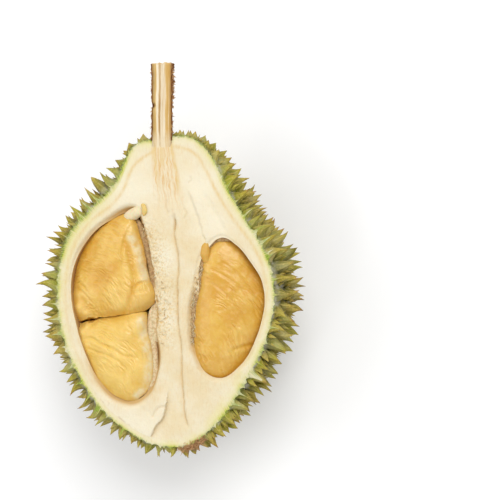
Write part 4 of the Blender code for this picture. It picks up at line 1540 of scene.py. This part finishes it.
def wood_material():
    """Stripes along the split stalk: tan under the bark, white and cream inside, one brown line."""
    s = Shader("stalk_wood", Roughness=0.75, Specular_IOR_Level=0.25)
    grain = s.noise(0.7, 4, stretch=(1, 0.05, 1))
    wander = s.noise(12, 2, stretch=(1, 0.3, 1))
    across = s.plus(s.value("across"), s.range(grain, 0.3, 0.7, -0.045, 0.045))
    across = s.plus(across, s.range(wander, 0.3, 0.7, -0.09, 0.09))
    s.colour = s.ramp(s.range(across, -1, 1), *WOOD_STRIPES)
    s.over(s.range(grain, 0.5, 0.75, 0, 0.55), (0.55, 0.36, 0.15))
    streaks = s.noise(1.3, 3, stretch=(1, 0.03, 1))
    s.over(s.range(streaks, 0.5, 0.68, 0, 0.55), (0.60, 0.37, 0.12))
    s.over(s.range(streaks, 0.45, 0.3, 0, 0.5), (0.86, 0.74, 0.50))
    along = s.value("along")
    by_root = s.times(s.range(along, 0.27, 0.13, 0, 0.85), s.range(grain, 0.35, 0.65, 1, 0.4))
    s.over(by_root, (0.78, 0.66, 0.44))
    s.over(s.range(along, 0.975, 1, 0, 0.6), (0.72, 0.52, 0.26))
    return s.finish(s.bump(grain, 0.6, 0.6))


def bark_material():
    """Flaking bark, red-brown with tan patches."""
    s = Shader("stalk_bark", Roughness=0.85, Specular_IOR_Level=0.2)
    flakes = s.noise(2.2, 5, 0.7, stretch=(1, 0.5, 1))
    browns = (0.3, (0.05, 0.016, 0.006)), (0.5, (0.20, 0.075, 0.022)), (0.72, (0.46, 0.29, 0.10))
    s.colour = s.ramp(flakes, *browns)
    return s.finish(s.bump(flakes, 0.8, 1.0))


def hair_material():
    """Pale green hairs; those over the scar are brown."""
    s = Shader("rim_fringe", Roughness=0.6)
    tip, own = s.value("tip"), s.value("own")
    s.colour = s.ramp(tip, (0.0, (0.64, 0.65, 0.25)), (0.5, (0.48, 0.56, 0.11)), (1.0, (0.34, 0.40, 0.05)))
    s.over(s.range(own, 0.5, 1, 0, 0.6), (0.68, 0.67, 0.30))
    brown = s.ramp(s.range(own, *SCAR_SHADES), (0.0, (0.40, 0.17, 0.05)), (1.0, (0.74, 0.47, 0.22)))
    s.over(s.range(own, 1.2, 1.8), brown)
    return s.finish(s.bump(s.noise(0.5), 0.2, 0.1))


def shred_material():
    """Cream to brown fibres; past a tone of 1 the tissue in the gaps, brown (partly painted shade) and then
    pale.
    """
    s = Shader("core_shreds", Roughness=0.75, Subsurface_Weight=0.15, Subsurface_Scale=1 * MM)
    own = s.value("own")
    s.colour = s.ramp(own, (0.0, (0.82, 0.73, 0.54)), (0.5, (0.76, 0.60, 0.34)), (1.0, (0.48, 0.29, 0.10)))
    blotches = s.range(s.noise(2.2, 4, 0.6), 0.38, 0.62)
    brown = s.mix(blotches, (0.32, 0.18, 0.07), (0.52, 0.35, 0.16))
    pale = s.mix(blotches, (0.56, 0.40, 0.20), (0.74, 0.61, 0.38))
    # the tissue in the gaps: brown that is partly painted shade of the gaps, paler at higher tones
    s.over(s.range(own, 1.1, 1.3), s.mix(s.range(own, 1.5, 1.8), brown, pale))
    return s.finish(s.bump(s.noise(0.7), 0.4, 0.3))


# ---------------------------------------------------------------- studio

PICTURE = 500  # both ways
PIXEL = 0.85 * MM  # at the cut face
LENS = 100.0
SENSOR = 36.0
YAW = math.radians(12)
LOOKED_AT = (72.25 * MM, 34.85 * MM)  # right of and above the middle of the cut face, in the picture's plane


def camera():
    back = Vector((math.sin(YAW), 0, math.cos(YAW)))
    right = Vector((math.cos(YAW), 0, -math.sin(YAW)))
    up = Vector((0, 1, 0))
    away = PICTURE * PIXEL * LENS / SENSOR
    data = bpy.data.cameras.new("camera")
    data.lens = LENS
    data.sensor_width = SENSOR
    made = bpy.data.objects.new("camera", data)
    spot = Vector((0, 0, CUT_Z)) + back * away + right * LOOKED_AT[0] + up * LOOKED_AT[1]
    made.matrix_world = Matrix.Translation(spot) @ Matrix((right, up, back)).transposed().to_4x4()
    bpy.context.scene.collection.objects.link(made)
    bpy.context.scene.camera = made


LIGHTS = (  # (name, place, side in metres, watts)
    ("key", (0.9, 1.7, 2.6), 2.0, 60),
    ("fill", (-2.0, 0.3, 2.2), 1.8, 18),
    ("front", (0.2, -2.0, 2.2), 1.8, 6),
    ("glint", (-0.6, -0.9, 1.8), 0.3, 2.5),
)


def softbox(name, place, size, power):
    data = bpy.data.lights.new(name, "AREA")
    data.shape = "SQUARE"
    data.size = size
    data.energy = power
    made = bpy.data.objects.new(name, data)
    made.location = place
    made.rotation_euler = (Vector((0, 0, CUT_Z)) - Vector(place)).to_track_quat("-Z", "Y").to_euler()
    bpy.context.scene.collection.objects.link(made)


def studio():
    bpy.ops.mesh.primitive_plane_add(size=12)
    floor = bpy.context.object
    floor.name = "floor"
    s = Shader("floor", Roughness=0.9, Specular_IOR_Level=0.1, Emission_Strength=0.1)
    cloud = s.noise(300, 2)
    s.colour = s.mix(cloud, (0.90, 0.90, 0.90), (0.92, 0.92, 0.92))
    floor.data.materials.append(s.finish(s.bump(cloud, 0.01, 1)))
    for light in LIGHTS:
        softbox(*light)
    world = bpy.data.worlds.new("studio")
    world.use_nodes = True
    world.node_tree.nodes["Background"].inputs["Color"].default_value = (1, 1, 1, 1)
    world.node_tree.nodes["Background"].inputs["Strength"].default_value = 0.5
    bpy.context.scene.world = world
    bpy.context.scene.view_settings.view_transform = "Standard"


# ---------------------------------------------------------------- pieces


UPPER_ARIL = Aril(
    (UPPER_ARIL_POINTS, (-48, 16)), MOUTHS[0], crown=10, belly=48, wall_side=-1, at_wall=8, meets=1,
    swirl=(-74, -27),
    lobes=(
        (-17, -7, 9.5, 3.8), (-58, 14, 13, -1.4), (-27, 56, 9, 1), (-78, -15, 5, 2.5), (-71, -21, 4, 2.2),
        (-80, -4, 5, 1.5), (-20, 24, 7, 1.2), (-42, -8, 12, 1.2),
    ),
    folds=UPPER_FOLDS,
)
LOWER_ARIL = Aril(
    (LOWER_ARIL_POINTS, (-46, -54)), MOUTHS[0], crown=9, belly=45, wall_side=-1, at_wall=8, meets=-1,
    swirl=(-80, -100),
    lobes=(
        (-22, -26, 9, 2.0), (-50, -66, 12, 0.8), (-77, -36, 4.5, 2.2), (-71, -30, 3.5, 1.8),
        (-78, -46, 4, 1.2), (-20, -70, 10, 1.2),
    ),
    folds=LOWER_FOLDS,
)
RIGHT_ARIL = Aril(
    (RIGHT_ARIL_POINTS, (55, -15)), MOUTHS[1], crown=9, belly=48, wall_side=1, at_wall=9, meets=0,
    swirl=(18, -62),
    lobes=((46, 36, 8, 1), (40, -40, 14, 0.8)),
    folds=RIGHT_FOLDS,
)


def main():
    camera()
    studio()
    flesh, spiny, hair = flesh_material(), rind_material(), hair_material()
    roots = scatter()
    valleys, rings = spine_cells(roots)
    piece(rind(roots, valleys, rings), (spiny, flesh), "husk")
    piece(small_spines(valleys), (spiny,))
    piece(pith(), (flesh,), "husk")
    ripe = aril_material("aril_ripe", (0.76, 0.48, 0.085), (0.68, 0.36, 0.04))
    deep = aril_material("aril_deep", (0.73, 0.43, 0.06), (0.65, 0.33, 0.03))
    pale = aril_material("aril_pale", (0.83, 0.57, 0.14), (0.75, 0.47, 0.08))
    piece(UPPER_ARIL.mesh("pod_upper"), (ripe,), "aril_left_upper")
    piece(LOWER_ARIL.mesh("pod_lower"), (pale,), "aril_left_lower")
    piece(RIGHT_ARIL.mesh("pod_right"), (deep,), "aril_right")
    piece(stalk_wood(), (wood_material(),), "stalk")
    piece(stalk_bark(), (bark_material(),), "stalk")
    piece(rim_fringe(), (hair,))
    piece(bark_splinters(), (hair,))
    piece(seed_stalks(), (strand_material(),))
    piece(core_shreds(), (shred_material(),))


main()
